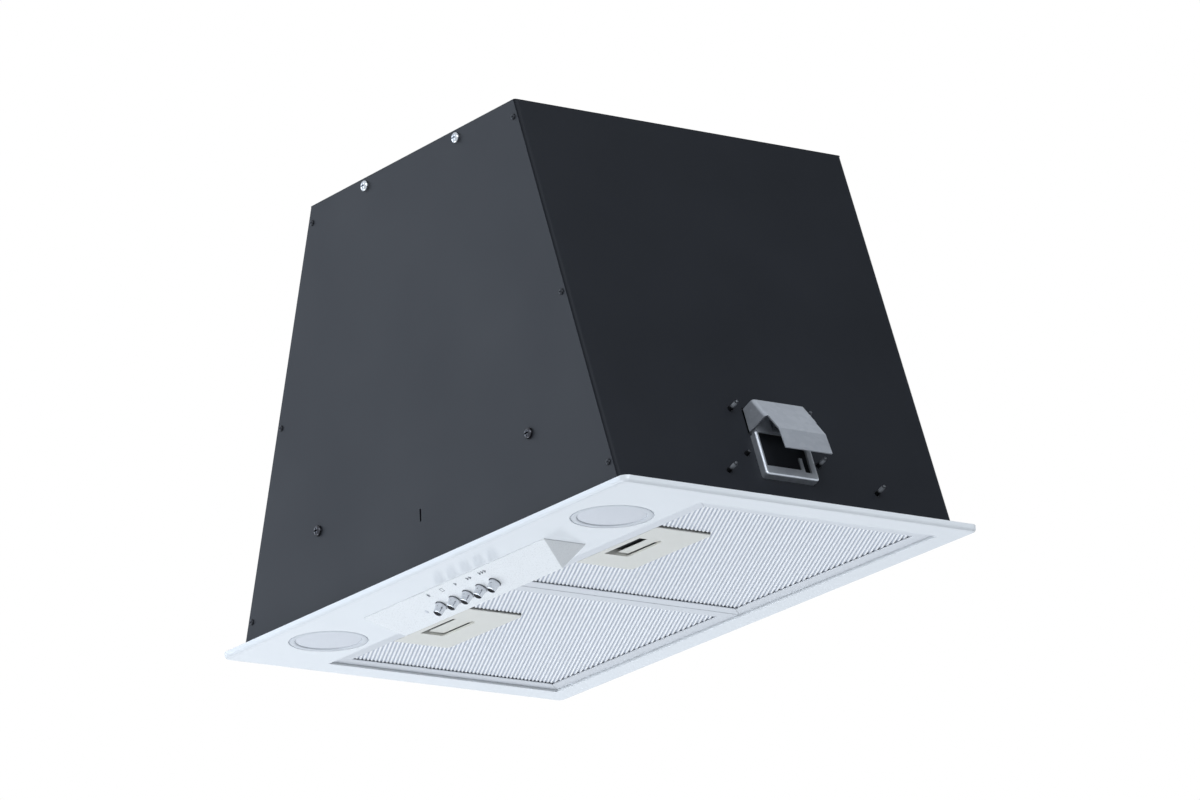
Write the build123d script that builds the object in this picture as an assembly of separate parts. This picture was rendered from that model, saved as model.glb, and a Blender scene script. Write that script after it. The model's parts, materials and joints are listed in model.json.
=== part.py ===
from build123d import *
from math import atan2, copysign, cos, sin, tan
import os

# Built-in range hood: a black sheet-steel canopy on a white face plate that closes the cut-out
# of a kitchen cabinet. Sizes are in millimetres. The origin is the middle of the cut-out, in the
# plane where the plate's rim meets the underside of the cabinet's board. +Z is up and -Y is the
# front, where the buttons are.

# Face plate: a shallow pan, its rim folded up and then in
PLATE_WIDTH = 525.0
PLATE_DEPTH = 297.0
PLATE_RIM = 5.0
PLATE_SHEET = 1.0
PLATE_CORNER = 6.0
PLATE_BEND = 2.5
RIM_RETURN = 7.5

# Filter opening in the plate, with a low wall folded up round it
OPENING_WIDTH = 479.0
OPENING_DEPTH = 200.0
OPENING_FRONT = -71.0
OPENING_WALL = 4.0

# Canopy: flat front and back, slanted sides, flat top
CASE_BASE_WIDTH = 494.0
CASE_TOP_WIDTH = 272.0
CASE_DEPTH = 280.0
CASE_HEIGHT = 306.0
CASE_SHEET = 0.8
CASE_BEND = 2.0
SIDE_FLANGE = 13.0
SIDE_FOOT = 5.0
TOP_FLANGE = 14.0
TOP_FLANGE_WIDTH = 220.0
FRONT_SLOT_X = -3.0
FRONT_SLOT_Z = 39.5
FRONT_SLOT_LENGTH = 9.0
FRONT_SLOT_WIDTH = 2.0

# Screws of the canopy
SCREW_PLAY = 0.2
SCREW_HEAD_SHOULDER = 0.45
SCREW_HEAD_CROWN = 0.7
EDGE_SCREW_LOW = 17.0
EDGE_SCREW_MIDDLE = 151.0
EDGE_SCREW_DOWN = 13.0
EDGE_SCREW_INSET = 6.5
EDGE_SCREW_SHANK = 1.4
EDGE_SCREW_HEAD = 2.2
EDGE_SCREW_HEAD_HEIGHT = 1.2
EDGE_SCREW_LENGTH = 6.0
TOP_SCREW_X = 60.5
TOP_SCREW_DOWN = 6.5
PAN_SCREW_X = 138.0
PAN_SCREW_Z = 62.0
PAN_SCREW_SHANK = 2.0
PAN_SCREW_HEAD = 4.0
PAN_SCREW_HEAD_HEIGHT = 2.6
PAN_SCREW_LENGTH = 9.0

# Screws through each slanted side: place along the depth, up the slope, length that stands out
SIDE_SCREWS = (
    (-28.0, 81.0, 10.0),
    (34.0, 81.0, 10.0),
    (-24.5, 44.0, 4.0),
    (35.0, 42.5, 10.0),
    (-44.0, 27.3, 10.0),
    (80.0, 25.6, 10.0),
)
SIDE_SCREW_SHANK = 1.9
SIDE_SCREW_HEAD = 3.6
SIDE_SCREW_HEAD_HEIGHT = 2.2
SIDE_SCREW_POINT = 3.0
STIFFENER_SHEET = 1.2
STIFFENER_MARGIN = 10.0
STIFFENER_CORNER = 6.0

# Spring catch on each slanted side, measured along the depth, up the slope and out of the panel
CATCH_CENTRE = 5.2
CATCH_WIDTH = 44.5
CATCH_SHEET = 1.2
CATCH_BEND = 2.7
CATCH_CREASE_BEND = 2.4
CATCH_TOP = 82.4
CATCH_TOP_OUT = 12.5
CATCH_CREASE = 48.1
CATCH_CREASE_OUT = 28.1
CATCH_LIP = 31.5
CATCH_LIP_OUT = 29.4
CATCH_CHEEK_END = 63.1
CATCH_PIVOT = 76.6
CATCH_PIVOT_OUT = 6.0
CATCH_PIN_RADIUS = 2.0
CATCH_TURN_PLAY = 0.06
CATCH_PLAY = 0.6
CATCH_SLOT_PLAY = 1.0
BRACKET_BOTTOM = 24.6
BRACKET_NECK = 59.6
BRACKET_OUT = 6.2
BRACKET_CORNER = 2.2
BRACKET_BEND = 1.5
BRACKET_WINDOW_BOTTOM = 31.6
BRACKET_FRONT_BAR = 2.2
BRACKET_REAR_BAR = 5.0
BRACKET_SLOT_WIDTH = 5.6
BRACKET_SLOT_DROP = 1.5
BRACKET_TONGUE_WIDTH = 2.4
BRACKET_TONGUE_LENGTH = 10.2
BRACKET_EAR = 6.0
CATCH_SPRING_WIDTH = 14.0
CATCH_SPRING_SHEET = 0.6
CATCH_SPRING_BEND = 2.0
CATCH_SPRING_REST = 8.0

# Lamps
LAMP_X = 184.0
LAMP_Y = -105.5
LAMP_RADIUS = 28.7
LAMP_GAP = 0.4
LAMP_FLANGE = 32.5
LAMP_FLANGE_SHEET = 1.2
LAMP_CAN_RADIUS = 26.0
LAMP_CAN_TOP = 12.0
LAMP_WALL = 1.5
LENS_RADIUS = 24.0
LENS_PLAY = 0.2
LENS_RECESS = 0.8
LENS_THICKNESS = 2.2
LENS_CROWN = 0.6
LED_BOARD_RADIUS = 20.0
LED_BOARD_SHEET = 1.6
LED_SIZE = 3.0
LED_HEIGHT = 0.8
LED_CIRCLE = 12.0
LED_COUNT = 6

# Control box: a hollow wedge under the plate
CONTROL_LENGTH = 235.6
CONTROL_RIDGE_LENGTH = 202.0
CONTROL_FRONT = -118.0
CONTROL_RIDGE = -92.0
CONTROL_BACK = -82.5
CONTROL_DROP = 14.6
CONTROL_WALL = 2.0
CONTROL_EDGE = 0.8

# Buttons in a row across the wedge's long face, counted down the face from its front edge
BUTTON_NAMES = ("light", "stop", "speed_1", "speed_2", "speed_3")
BUTTON_ROW_X = -2.5
BUTTON_ROW_DOWN = 17.5
BUTTON_PITCH = 17.3
BUTTON_RADIUS = 4.2
BUTTON_TIP_RADIUS = 3.2
BUTTON_COLLAR = 1.6
BUTTON_HEIGHT = 8.4
BUTTON_CROWN = 1.2
BUTTON_STEM_RADIUS = 2.6
BUTTON_STEM = 9.0
BUTTON_TRAVEL = 3.5
BUTTON_PLAY = 0.5
BUTTON_ROOT = 0.9
PILOT_STEP = 19.5
PILOT_RADIUS = 1.6
PILOT_HEAD = 2.6
PILOT_HEAD_HEIGHT = 1.2
PILOT_PROUD = 0.5
SWITCH_THICKNESS = 13.0
SWITCH_DEPTH = 24.0
SWITCH_END = 15.0
SWITCH_LUG = 5.0
SWITCH_PLAY = 1.5

# Electrics on a shelf inside the front panel
SHELF_HALF_WIDTH = 152.0
SHELF_BOTTOM = 50.0
SHELF_LEG = 24.0
SHELF_DEPTH = 40.0
SHELF_SHEET = 0.8
TERMINAL_X = -102.0
TERMINAL_SIZE = (60.0, 32.0, 28.0)
TERMINAL_WALL = 2.0
TERMINAL_LID = 2.0
DRIVER_X = 0.0
DRIVER_SIZE = (66.0, 26.0, 20.0)
DRIVER_EDGE = 2.0
SHELF_SETBACK = 5.0
CAPACITOR_X = 104.0
CAPACITOR_RADIUS = 15.0
CAPACITOR_HEIGHT = 52.0
CAPACITOR_EDGE = 2.0

# Grease filters, one on each side of the middle
FILTER_GAP = 1.0
FILTER_RECESS = 1.6
FILTER_THICKNESS = 9.5
FILTER_SHEET = 0.8
FILTER_BAR = 11.0
FILTER_PLAY = 0.4
FILTER_TAB_X = 70.0
FILTER_TAB_WIDTH = 22.0
FILTER_TAB_LENGTH = 8.0
FILTER_TAB_SHEET = 1.2
SEAT_PLAY = 0.3
MESH_PITCH = 3.9
MESH_CRIMP = 1.7
MESH_SHEET = 1.0
MESH_TURN = -25.2

# Latch in the front edge of each filter
LATCH_WIDTH = 100.0
LATCH_DEPTH = 47.0
LATCH_CORNER = 4.0
LATCH_WALL = 1.2
LATCH_RIM = 0.8
LATCH_RIM_REACH = 2.5
LATCH_BACK_WALL = 1.6
RECESS_WIDTH = 44.0
RECESS_DEPTH = 20.0
RECESS_SETBACK = 5.0
RECESS_CORNER = 3.0
SLIDER_PLAY = 0.2
SLIDER_PLATE = 2.8
SLIDER_ARM = 2.0
SLIDER_ARM_WIDTH = 24.0
FINGER_GAP = 10.0
TONGUE_REACH = 4.5
TONGUE_LENGTH = 12.0
LATCH_TRAVEL = 6.0
LATCH_SPRING_FLAT = 1.4
LATCH_SPRING_SHEET = 0.5
LATCH_SPRING_WIDTH = 1.4
LATCH_SPRING_SPAN = 18.0

# Blower: a scroll in two halves, with the fan across the hood
FAN_Y = -12.0
FAN_Z = 160.0
FAN_RADIUS = 78.0
FAN_INNER = 64.0
FAN_HALF_WIDTH = 54.0
FAN_RING = 2.0
FAN_DISC = 2.0
FAN_HUB_RADIUS = 11.0
FAN_HUB_HALF = 12.0
BLADE_COUNT = 30
BLADE_SHEET = 1.2
BLADE_LEAN = 6.0
SHAFT_RADIUS = 4.0
SHAFT_PLAY = 0.05
SHAFT_LEFT = -15.0
SCROLL_HALF_WIDTH = 60.0
SCROLL_WALL = 2.2
SCROLL_FIRST_RADIUS = 88.0
SCROLL_STEP = 12.0
SCROLL_TONGUE = 50.0
SCROLL_RIM = 6.0
SCROLL_RIM_SHEET = 2.0
INLET_RADIUS = 62.0
INLET_LIP = 4.0
INLET_LIP_WALL = 3.0
INLET_LIP_EDGE = 1.4
MOTOR_RADIUS = 40.0
MOTOR_LENGTH = 54.0
MOTOR_EDGE = 6.0
MOTOR_END_GAP = 4.0
SPIDER_SHEET = 2.0
SPIDER_DISC = 24.0
SPIDER_ARM = 14.0
SPIDER_REACH = 78.0
SPIDER_FOOT = 9.0
SPIDER_COUNT = 3
GROMMET_RADIUS = 7.0
GROMMET_WAIST = 5.0

# Duct collar on the top, with two flaps that stop air from coming back
DUCT_RADIUS = 60.0
DUCT_PLAY = 0.3
COLLAR_WALL = 1.9
COLLAR_HEIGHT = 25.0
COLLAR_FLANGE = 8.0
COLLAR_FLANGE_SHEET = 2.0
COLLAR_LEDGE = 3.5
COLLAR_LEDGE_SHEET = 1.5
FLAP_PIN_RADIUS = 2.0
FLAP_PIN_HEIGHT = 11.0
FLAP_TURN_PLAY = 0.06
FLAP_KNUCKLE = 3.4
FLAP_KNUCKLE_LENGTH = 12.0
FLAP_KNUCKLE_X = (-40.0, 20.0)
FLAP_SHEET = 1.2
FLAP_DROP = 0.8
FLAP_PLAY = 1.0

# Cable gland in the top
GLAND_X = -104.0
GLAND_Y = 100.0
GLAND_BORE = 4.5
GLAND_RADIUS = 7.5
GLAND_HEAD = 10.5
GLAND_HEAD_HEIGHT = 3.0
GLAND_NUT_HEIGHT = 5.0
GLAND_PLAY = 0.2

# Levels and places that follow from the sizes above
PLATE_UNDER = -PLATE_RIM
PLATE_INNER = PLATE_UNDER + PLATE_SHEET
OPENING_BACK = OPENING_FRONT + OPENING_DEPTH
OPENING_WALL_TOP = PLATE_UNDER + OPENING_WALL
CASE_FRONT = -CASE_DEPTH / 2
FRONT_INNER = CASE_FRONT + CASE_SHEET
TOP_UNDER = CASE_HEIGHT - CASE_SHEET
EDGE_SCREW_HEIGHTS = (EDGE_SCREW_LOW, EDGE_SCREW_MIDDLE, CASE_HEIGHT - EDGE_SCREW_DOWN)
TOP_SCREW_Z = CASE_HEIGHT - TOP_SCREW_DOWN
SIDE_TILT = atan2((CASE_BASE_WIDTH - CASE_TOP_WIDTH) / 2, CASE_HEIGHT - PLATE_INNER)
SIDE_OUT = Vector(cos(SIDE_TILT), 0, sin(SIDE_TILT))
SIDE_PLANE = Plane((CASE_BASE_WIDTH / 2, 0, PLATE_INNER), x_dir=(0, 1, 0), z_dir=SIDE_OUT)
STIFFENER_INNER = -CASE_SHEET - STIFFENER_SHEET
CONTROL_SLOPE = atan2(CONTROL_DROP, CONTROL_RIDGE - CONTROL_FRONT)
CONTROL_OUT = Vector(0, -sin(CONTROL_SLOPE), -cos(CONTROL_SLOPE))
CONTROL_PLANE = Plane((0, CONTROL_FRONT, PLATE_UNDER), x_dir=(1, 0, 0), z_dir=CONTROL_OUT)
BUTTON_SPAN = BUTTON_PITCH * (len(BUTTON_NAMES) - 1)
BUTTON_XS = [BUTTON_ROW_X - BUTTON_SPAN / 2 + BUTTON_PITCH * i for i in range(len(BUTTON_NAMES))]
PILOT_X = BUTTON_XS[0] - PILOT_STEP
SWITCH_FACE = -BUTTON_COLLAR - BUTTON_TRAVEL - BUTTON_ROOT
SWITCH_HALF_LENGTH = BUTTON_SPAN / 2 + SWITCH_END
SHELF_TOP = SHELF_BOTTOM + SHELF_SHEET
SHELF_FRONT = FRONT_INNER + SHELF_SETBACK
FILTER_BOTTOM = PLATE_UNDER + FILTER_RECESS
FILTER_TOP = FILTER_BOTTOM + FILTER_THICKNESS
FILTER_FRONT = OPENING_FRONT + FILTER_GAP
FILTER_BACK = OPENING_BACK - FILTER_GAP
FILTER_WIDTH = (OPENING_WIDTH - 3 * FILTER_GAP) / 2
FILTER_X = (FILTER_WIDTH + FILTER_GAP) / 2
LATCH_FRONT = FILTER_FRONT + FILTER_BAR
LATCH_BACK = LATCH_FRONT + LATCH_DEPTH
LATCH_TOP = FILTER_TOP - FILTER_SHEET - SEAT_PLAY
LATCH_FLOOR = FILTER_BOTTOM + LATCH_WALL
RECESS_FRONT = LATCH_FRONT + RECESS_SETBACK
SLIDER_FRONT = RECESS_FRONT + FINGER_GAP
SLIDER_BOTTOM = LATCH_FLOOR + SLIDER_PLAY
SLIDER_TOP = SLIDER_BOTTOM + SLIDER_PLATE
ARM_TOP = SLIDER_TOP + SLIDER_ARM
TONGUE_BOTTOM = OPENING_WALL_TOP + SEAT_PLAY
TONGUE_TIP = OPENING_FRONT - PLATE_SHEET - TONGUE_REACH
LATCH_CAVITY_BACK = LATCH_BACK - LATCH_RIM_REACH - LATCH_BACK_WALL
SLIDER_BACK = LATCH_CAVITY_BACK - LATCH_SPRING_FLAT - LATCH_TRAVEL
FAN_PLANE = Plane((0, FAN_Y, FAN_Z), x_dir=(0, 1, 0), z_dir=(1, 0, 0))
SCROLL_SIDE = SCROLL_HALF_WIDTH + SCROLL_WALL
SPIDER_X = SCROLL_SIDE + INLET_LIP + MOTOR_END_GAP
MOTOR_LEFT = SPIDER_X - MOTOR_LENGTH
SCROLL_MOUTH = 2 * (DUCT_RADIUS - DUCT_PLAY - COLLAR_WALL)
SCROLL_RIGHT = SCROLL_FIRST_RADIUS + 3 * SCROLL_STEP + SCROLL_STEP / 2
DUCT_Y = FAN_Y + SCROLL_RIGHT - SCROLL_MOUTH / 2
SPIGOT_RADIUS = DUCT_RADIUS - DUCT_PLAY
SPIGOT_BORE = SPIGOT_RADIUS - COLLAR_WALL
COLLAR_PLANE = Plane((0, DUCT_Y, CASE_HEIGHT), x_dir=(1, 0, 0), z_dir=(0, 0, 1))
RISE = (Align.CENTER, Align.CENTER, Align.MIN)


def box(low, high):
    """A box between two corners."""
    size = Vector(high) - Vector(low)
    return Pos(*((Vector(low) + Vector(high)) / 2)) * Box(size.X, size.Y, size.Z)


def rod(plane, start, end, radius):
    """A round bar on a plane's normal, between two heights over the plane."""
    return plane * (Pos(0, 0, start) * Cylinder(radius, end - start, align=RISE))


def slab(width, depth, corner, low, high):
    """A plate with rounded corners, centred on the hood."""
    return Pos(0, 0, low) * extrude(RectangleRounded(width, depth, corner), high - low)


def at(plane, x, y):
    """The same plane, moved along itself."""
    return plane * Pos(x, y, 0)


def turned(points):
    """A solid of revolution about Z, from half of its section as (radius, height) points."""
    return revolve(Plane.XZ * make_face(Polyline(*points, close=True)), Axis.Z)


def crown(edge, top):
    """An arc from an edge to the axis, its centre on the axis, so that it turns into a dome."""
    radius, height = edge
    rise = abs(top - height)
    ball = (radius ** 2 + rise ** 2) / (2 * rise)
    turn = atan2(radius, ball - rise) / 2
    fall = copysign(ball * (1 - cos(turn)), top - height)
    return ThreePointArc(edge, (ball * sin(turn), top - fall), (0, top))


def left_of(part):
    """The left-hand copy of a right-hand piece."""
    return mirror(part, about=Plane.YZ)


def next_filter(part):
    """The copy of a filter's piece in the left filter, which is the same filter moved over."""
    return Pos(-2 * FILTER_X, 0, 0) * part


def half_width(height):
    """Half of the canopy's outside width at a height."""
    return CASE_BASE_WIDTH / 2 - (height - PLATE_INNER) * tan(SIDE_TILT)


def facing(x, y, z):
    """A plane that faces the front, for screws and holes in the end panels."""
    return Plane((x, y, z), x_dir=(1, 0, 0), z_dir=(0, -1, 0))


def edge_screw_places():
    """The places of the small screws along the slanted edges of an end panel."""
    inset = EDGE_SCREW_INSET / cos(SIDE_TILT)
    return [(side * (half_width(z) - inset), z) for z in EDGE_SCREW_HEIGHTS for side in (1, -1)]


def end_holes():
    """Bars that cut the screw holes of both end panels and the flanges behind them."""
    reach = CASE_DEPTH / 2 + SIDE_FLANGE
    bars = []
    for x, z in edge_screw_places():
        bars.append(rod(facing(x, 0, z), -reach, reach, EDGE_SCREW_SHANK + SCREW_PLAY))
    for x in (-TOP_SCREW_X, TOP_SCREW_X):
        bars.append(rod(facing(x, 0, TOP_SCREW_Z), -reach, reach, PAN_SCREW_SHANK + SCREW_PLAY))
    return bars


def bracket_holes():
    """Bars that cut the holes of the two screws that carry the shelf of the electrics."""
    deep = FRONT_INNER + SIDE_FLANGE
    return [rod(facing(x, deep, PAN_SCREW_Z), 0, 2 * SIDE_FLANGE, PAN_SCREW_SHANK + SCREW_PLAY)
            for x in (-PAN_SCREW_X, PAN_SCREW_X)]


def face_plate():
    pan = slab(PLATE_WIDTH, PLATE_DEPTH, PLATE_CORNER, PLATE_UNDER, 0)
    pan = fillet(pan.faces().sort_by(Axis.Z)[0].edges(), PLATE_BEND)
    inside_corner = PLATE_CORNER - PLATE_SHEET
    inside = slab(PLATE_WIDTH - 2 * PLATE_SHEET, PLATE_DEPTH - 2 * PLATE_SHEET, inside_corner,
                  PLATE_INNER, -PLATE_SHEET)
    inside = fillet(inside.faces().sort_by(Axis.Z)[0].edges(), PLATE_BEND - PLATE_SHEET)
    mouth = box((-PLATE_WIDTH / 2 + RIM_RETURN, -PLATE_DEPTH / 2 + RIM_RETURN, PLATE_INNER),
                (PLATE_WIDTH / 2 - RIM_RETURN, PLATE_DEPTH / 2 - RIM_RETURN, PLATE_RIM))
    wall = box((-OPENING_WIDTH / 2 - PLATE_SHEET, OPENING_FRONT - PLATE_SHEET, PLATE_UNDER),
               (OPENING_WIDTH / 2 + PLATE_SHEET, OPENING_BACK + PLATE_SHEET, OPENING_WALL_TOP))
    opening = box((-OPENING_WIDTH / 2, OPENING_FRONT, PLATE_UNDER - PLATE_RIM),
                  (OPENING_WIDTH / 2, OPENING_BACK, PLATE_RIM))
    plate = pan - inside - mouth + wall - opening
    for side in (1, -1):
        lamp = Plane((side * LAMP_X, LAMP_Y, 0))
        plate -= rod(lamp, PLATE_UNDER - PLATE_RIM, 0, LAMP_RADIUS + LAMP_GAP)
    return plate - control_cutout()


def control_cutout():
    """The slot in the plate that the switch block stands through."""
    middle = CONTROL_FRONT + BUTTON_ROW_DOWN / cos(CONTROL_SLOPE)
    half = SWITCH_THICKNESS / 2 / cos(CONTROL_SLOPE) + SWITCH_PLAY
    reach = SWITCH_HALF_LENGTH + SWITCH_PLAY
    return box((BUTTON_ROW_X - reach, middle - half, PLATE_UNDER - PLATE_RIM),
               (BUTTON_ROW_X + reach, middle + half, 0))


def end_panel():
    """The flat trapezoid of the front, with its edges set in from the bends of the sides."""
    low = half_width(PLATE_INNER) - CASE_BEND
    high = half_width(TOP_UNDER) - CASE_BEND
    outline = Polyline((-low, PLATE_INNER), (low, PLATE_INNER), (high, TOP_UNDER), (-high, TOP_UNDER),
                       close=True)
    panel = Pos(0, FRONT_INNER, 0) * extrude(Plane.XZ * make_face(outline), CASE_SHEET)
    for bar in end_holes():
        panel -= bar
    return panel


def front_panel():
    half_width_x = FRONT_SLOT_WIDTH / 2
    half_length = FRONT_SLOT_LENGTH / 2
    slot = box((FRONT_SLOT_X - half_width_x, CASE_FRONT - CASE_SHEET, FRONT_SLOT_Z - half_length),
               (FRONT_SLOT_X + half_width_x, FRONT_INNER + CASE_SHEET, FRONT_SLOT_Z + half_length))
    panel = end_panel() - slot
    for bar in bracket_holes():
        panel -= bar
    return panel


def back_panel():
    return mirror(end_panel(), about=Plane.XZ)


def cheek_slots():
    """Bars that cut the two slots for the cheeks of a catch leaf, on the side's plane."""
    slots = []
    below = STIFFENER_INNER - STIFFENER_SHEET
    for side in (1, -1):
        outer = CATCH_CENTRE + side * (CATCH_WIDTH / 2 + CATCH_SLOT_PLAY)
        inner = CATCH_CENTRE + side * (CATCH_WIDTH / 2 - CATCH_SHEET - CATCH_SLOT_PLAY)
        slots.append(box((min(outer, inner), CATCH_CHEEK_END - CATCH_SLOT_PLAY, below),
                         (max(outer, inner), CATCH_TOP + CATCH_SLOT_PLAY, CASE_SHEET)))
    return slots


def side_holes():
    """Bars that cut the screw holes of a side panel and its stiffener, on the side's plane."""
    below = STIFFENER_INNER - STIFFENER_SHEET
    return [rod(at(Plane.XY, y, up), below, CASE_SHEET, SIDE_SCREW_SHANK + SCREW_PLAY)
            for y, up, length in SIDE_SCREWS]


def side_panel():
    """The right side: a sheet with its front and back edges bent in, and a foot on the plate."""
    reach = CASE_DEPTH / 2 - CASE_SHEET
    slope = (CASE_HEIGHT - PLATE_INNER) / cos(SIDE_TILT)
    outer = box((-reach, -SIDE_FLANGE, -SIDE_FLANGE), (reach, slope + SIDE_FLANGE, 0))
    outer = fillet(outer.faces().sort_by(Axis.Z)[-1].edges().filter_by(Axis.Y), CASE_BEND)
    inner = box((-reach + CASE_SHEET, -SIDE_FLANGE, -2 * SIDE_FLANGE),
                (reach - CASE_SHEET, slope + SIDE_FLANGE, -CASE_SHEET))
    inner = fillet(inner.faces().sort_by(Axis.Z)[-1].edges().filter_by(Axis.Y), CASE_BEND - CASE_SHEET)
    sheet = outer - inner
    for cut in cheek_slots() + side_holes():
        sheet -= cut
    room = box((0, -CASE_DEPTH, PLATE_INNER), (CASE_BASE_WIDTH, CASE_DEPTH, TOP_UNDER))
    panel = (SIDE_PLANE * sheet) & room
    foot_end = half_width(PLATE_INNER) - CASE_SHEET
    panel += box((foot_end - SIDE_FOOT, -reach + CASE_SHEET, PLATE_INNER),
                 (foot_end, reach - CASE_SHEET, PLATE_INNER + CASE_SHEET))
    for bar in end_holes():
        panel -= bar
    return panel


def top_panel():
    sheet = slab(CASE_TOP_WIDTH, CASE_DEPTH, CASE_BEND, TOP_UNDER, CASE_HEIGHT)
    for side in (1, -1):
        near = side * (CASE_DEPTH / 2 - CASE_SHEET)
        far = near - side * CASE_SHEET
        sheet += box((-TOP_FLANGE_WIDTH / 2, min(near, far), CASE_HEIGHT - TOP_FLANGE),
                     (TOP_FLANGE_WIDTH / 2, max(near, far), TOP_UNDER))
    for bar in end_holes():
        sheet -= bar
    sheet -= rod(COLLAR_PLANE, -TOP_FLANGE, CASE_SHEET, SPIGOT_BORE)
    return sheet - rod(gland_plane(), -TOP_FLANGE, CASE_SHEET, GLAND_RADIUS + GLAND_PLAY)


def screw(plane, shank, head, head_height, length):
    """A round-headed screw, its head standing on a plane and its shank behind it."""
    points = [(0, -length), (shank, -length), (shank, 0), (head, 0),
              (head, head_height * SCREW_HEAD_SHOULDER), (head * SCREW_HEAD_CROWN, head_height),
              (0, head_height)]
    return plane * turned(points)


def edge_screws():
    """The small screws of the front panel, and their copies in the back panel."""
    front = [screw(facing(x, CASE_FRONT, z), EDGE_SCREW_SHANK, EDGE_SCREW_HEAD,
                   EDGE_SCREW_HEAD_HEIGHT, EDGE_SCREW_LENGTH)
             for x, z in edge_screw_places()]
    return front + [mirror(one, about=Plane.XZ) for one in front]


def pan_screw(x, z):
    """A pan-headed screw in the front panel."""
    return screw(facing(x, CASE_FRONT, z), PAN_SCREW_SHANK, PAN_SCREW_HEAD, PAN_SCREW_HEAD_HEIGHT,
                 PAN_SCREW_LENGTH)


def top_screws():
    front = [pan_screw(x, TOP_SCREW_Z) for x in (-TOP_SCREW_X, TOP_SCREW_X)]
    return front + [mirror(one, about=Plane.XZ) for one in front]


def bracket_screws():
    return [pan_screw(x, PAN_SCREW_Z) for x in (-PAN_SCREW_X, PAN_SCREW_X)]


def side_screws():
    """Pointed screws driven from inside, so that their tips stand out of the sides."""
    right = []
    for y, up, length in SIDE_SCREWS:
        head_end = STIFFENER_INNER - SIDE_SCREW_HEAD_HEIGHT
        point_start = length - SIDE_SCREW_POINT
        points = [(0, head_end), (SIDE_SCREW_HEAD, head_end), (SIDE_SCREW_HEAD, STIFFENER_INNER),
                  (SIDE_SCREW_SHANK, STIFFENER_INNER), (SIDE_SCREW_SHANK, point_start), (0, length)]
        right.append(SIDE_PLANE * (Pos(y, up, 0) * turned(points)))
    return right + [left_of(one) for one in right]


def side_stiffener():
    """The inner plate that the side screws hold, behind the right catch."""
    ys = [y for y, up, length in SIDE_SCREWS]
    ups = [up for y, up, length in SIDE_SCREWS]
    low = min(ups) - STIFFENER_MARGIN
    high = max(max(ups), CATCH_TOP) + STIFFENER_MARGIN
    width = max(ys) - min(ys) + 2 * STIFFENER_MARGIN
    outline = RectangleRounded(width, high - low, STIFFENER_CORNER)
    middle = Pos((max(ys) + min(ys)) / 2, (low + high) / 2, STIFFENER_INNER)
    plate = middle * extrude(outline, STIFFENER_SHEET)
    for cut in cheek_slots() + side_holes():
        plate -= cut
    return SIDE_PLANE * plate


def across(section, start, end):
    """A section drawn up the slope and out of the panel, carried along the depth of the hood."""
    drawing = Plane((start, 0, 0), x_dir=(0, 1, 0), z_dir=(1, 0, 0))
    return extrude(drawing * section, end - start)


def pivot_hole(radius):
    """A bar through the pivot of the catch, on the side's plane."""
    reach = CATCH_WIDTH
    circle = Pos(CATCH_PIVOT, CATCH_PIVOT_OUT) * Circle(radius)
    return across(circle, CATCH_CENTRE - reach, CATCH_CENTRE + reach)


def catch_bracket():
    """The pressed-steel seat of the right catch: a window frame on folded legs, a tongue and two ears."""
    wide = CATCH_WIDTH / 2
    narrow = wide - CATCH_SHEET - CATCH_PLAY
    plate_low = BRACKET_OUT - CATCH_SHEET
    ear_top = CATCH_PIVOT + BRACKET_EAR
    lower = box((-wide, BRACKET_BOTTOM, 0), (wide, BRACKET_NECK, BRACKET_OUT))
    lower = fillet(lower.faces().sort_by(Axis.Y)[0].edges().filter_by(Axis.Z), BRACKET_CORNER)
    rim = lower.faces().sort_by(Axis.Z)[-1].edges().sort_by(Axis.Y)
    lower = fillet(rim[:-1], BRACKET_BEND)
    upper = box((-narrow, BRACKET_NECK - BRACKET_CORNER, 0), (narrow, ear_top, BRACKET_OUT))
    hollow = box((-wide + CATCH_SHEET, BRACKET_BOTTOM + CATCH_SHEET, -CATCH_SHEET),
                 (wide - CATCH_SHEET, BRACKET_NECK - CATCH_SHEET, plate_low))
    hollow += box((-narrow + CATCH_SHEET, BRACKET_NECK - BRACKET_CORNER, -CATCH_SHEET),
                  (narrow - CATCH_SHEET, ear_top + CATCH_SHEET, plate_low))
    slot_end = wide - BRACKET_REAR_BAR
    slot_start = slot_end - BRACKET_SLOT_WIDTH
    window = box((-wide + BRACKET_FRONT_BAR, BRACKET_WINDOW_BOTTOM, -CATCH_SHEET),
                 (slot_end, BRACKET_NECK, 2 * BRACKET_OUT))
    window -= box((slot_start - BRACKET_TONGUE_WIDTH, 0, -CATCH_SHEET),
                  (slot_start, BRACKET_WINDOW_BOTTOM + BRACKET_TONGUE_LENGTH, 2 * BRACKET_OUT))
    window += box((slot_start, BRACKET_WINDOW_BOTTOM - BRACKET_SLOT_DROP, -CATCH_SHEET),
                  (slot_end, BRACKET_NECK, 2 * BRACKET_OUT))
    frame = Pos(CATCH_CENTRE, 0, 0) * (lower + upper - hollow - window)
    ear = Pos(CATCH_PIVOT, CATCH_PIVOT_OUT) * Circle(BRACKET_EAR)
    ear += Pos(CATCH_PIVOT, CATCH_PIVOT_OUT / 2) * Rectangle(2 * BRACKET_EAR, CATCH_PIVOT_OUT)
    for side in (1, -1):
        start = CATCH_CENTRE + side * narrow
        end = start - side * CATCH_SHEET
        frame += across(ear, min(start, end), max(start, end))
    trim = box((-CASE_DEPTH, 0, 0), (CASE_DEPTH, CASE_HEIGHT, CATCH_LIP_OUT))
    return SIDE_PLANE * ((frame - pivot_hole(CATCH_PIN_RADIUS + CATCH_TURN_PLAY)) & trim)


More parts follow.
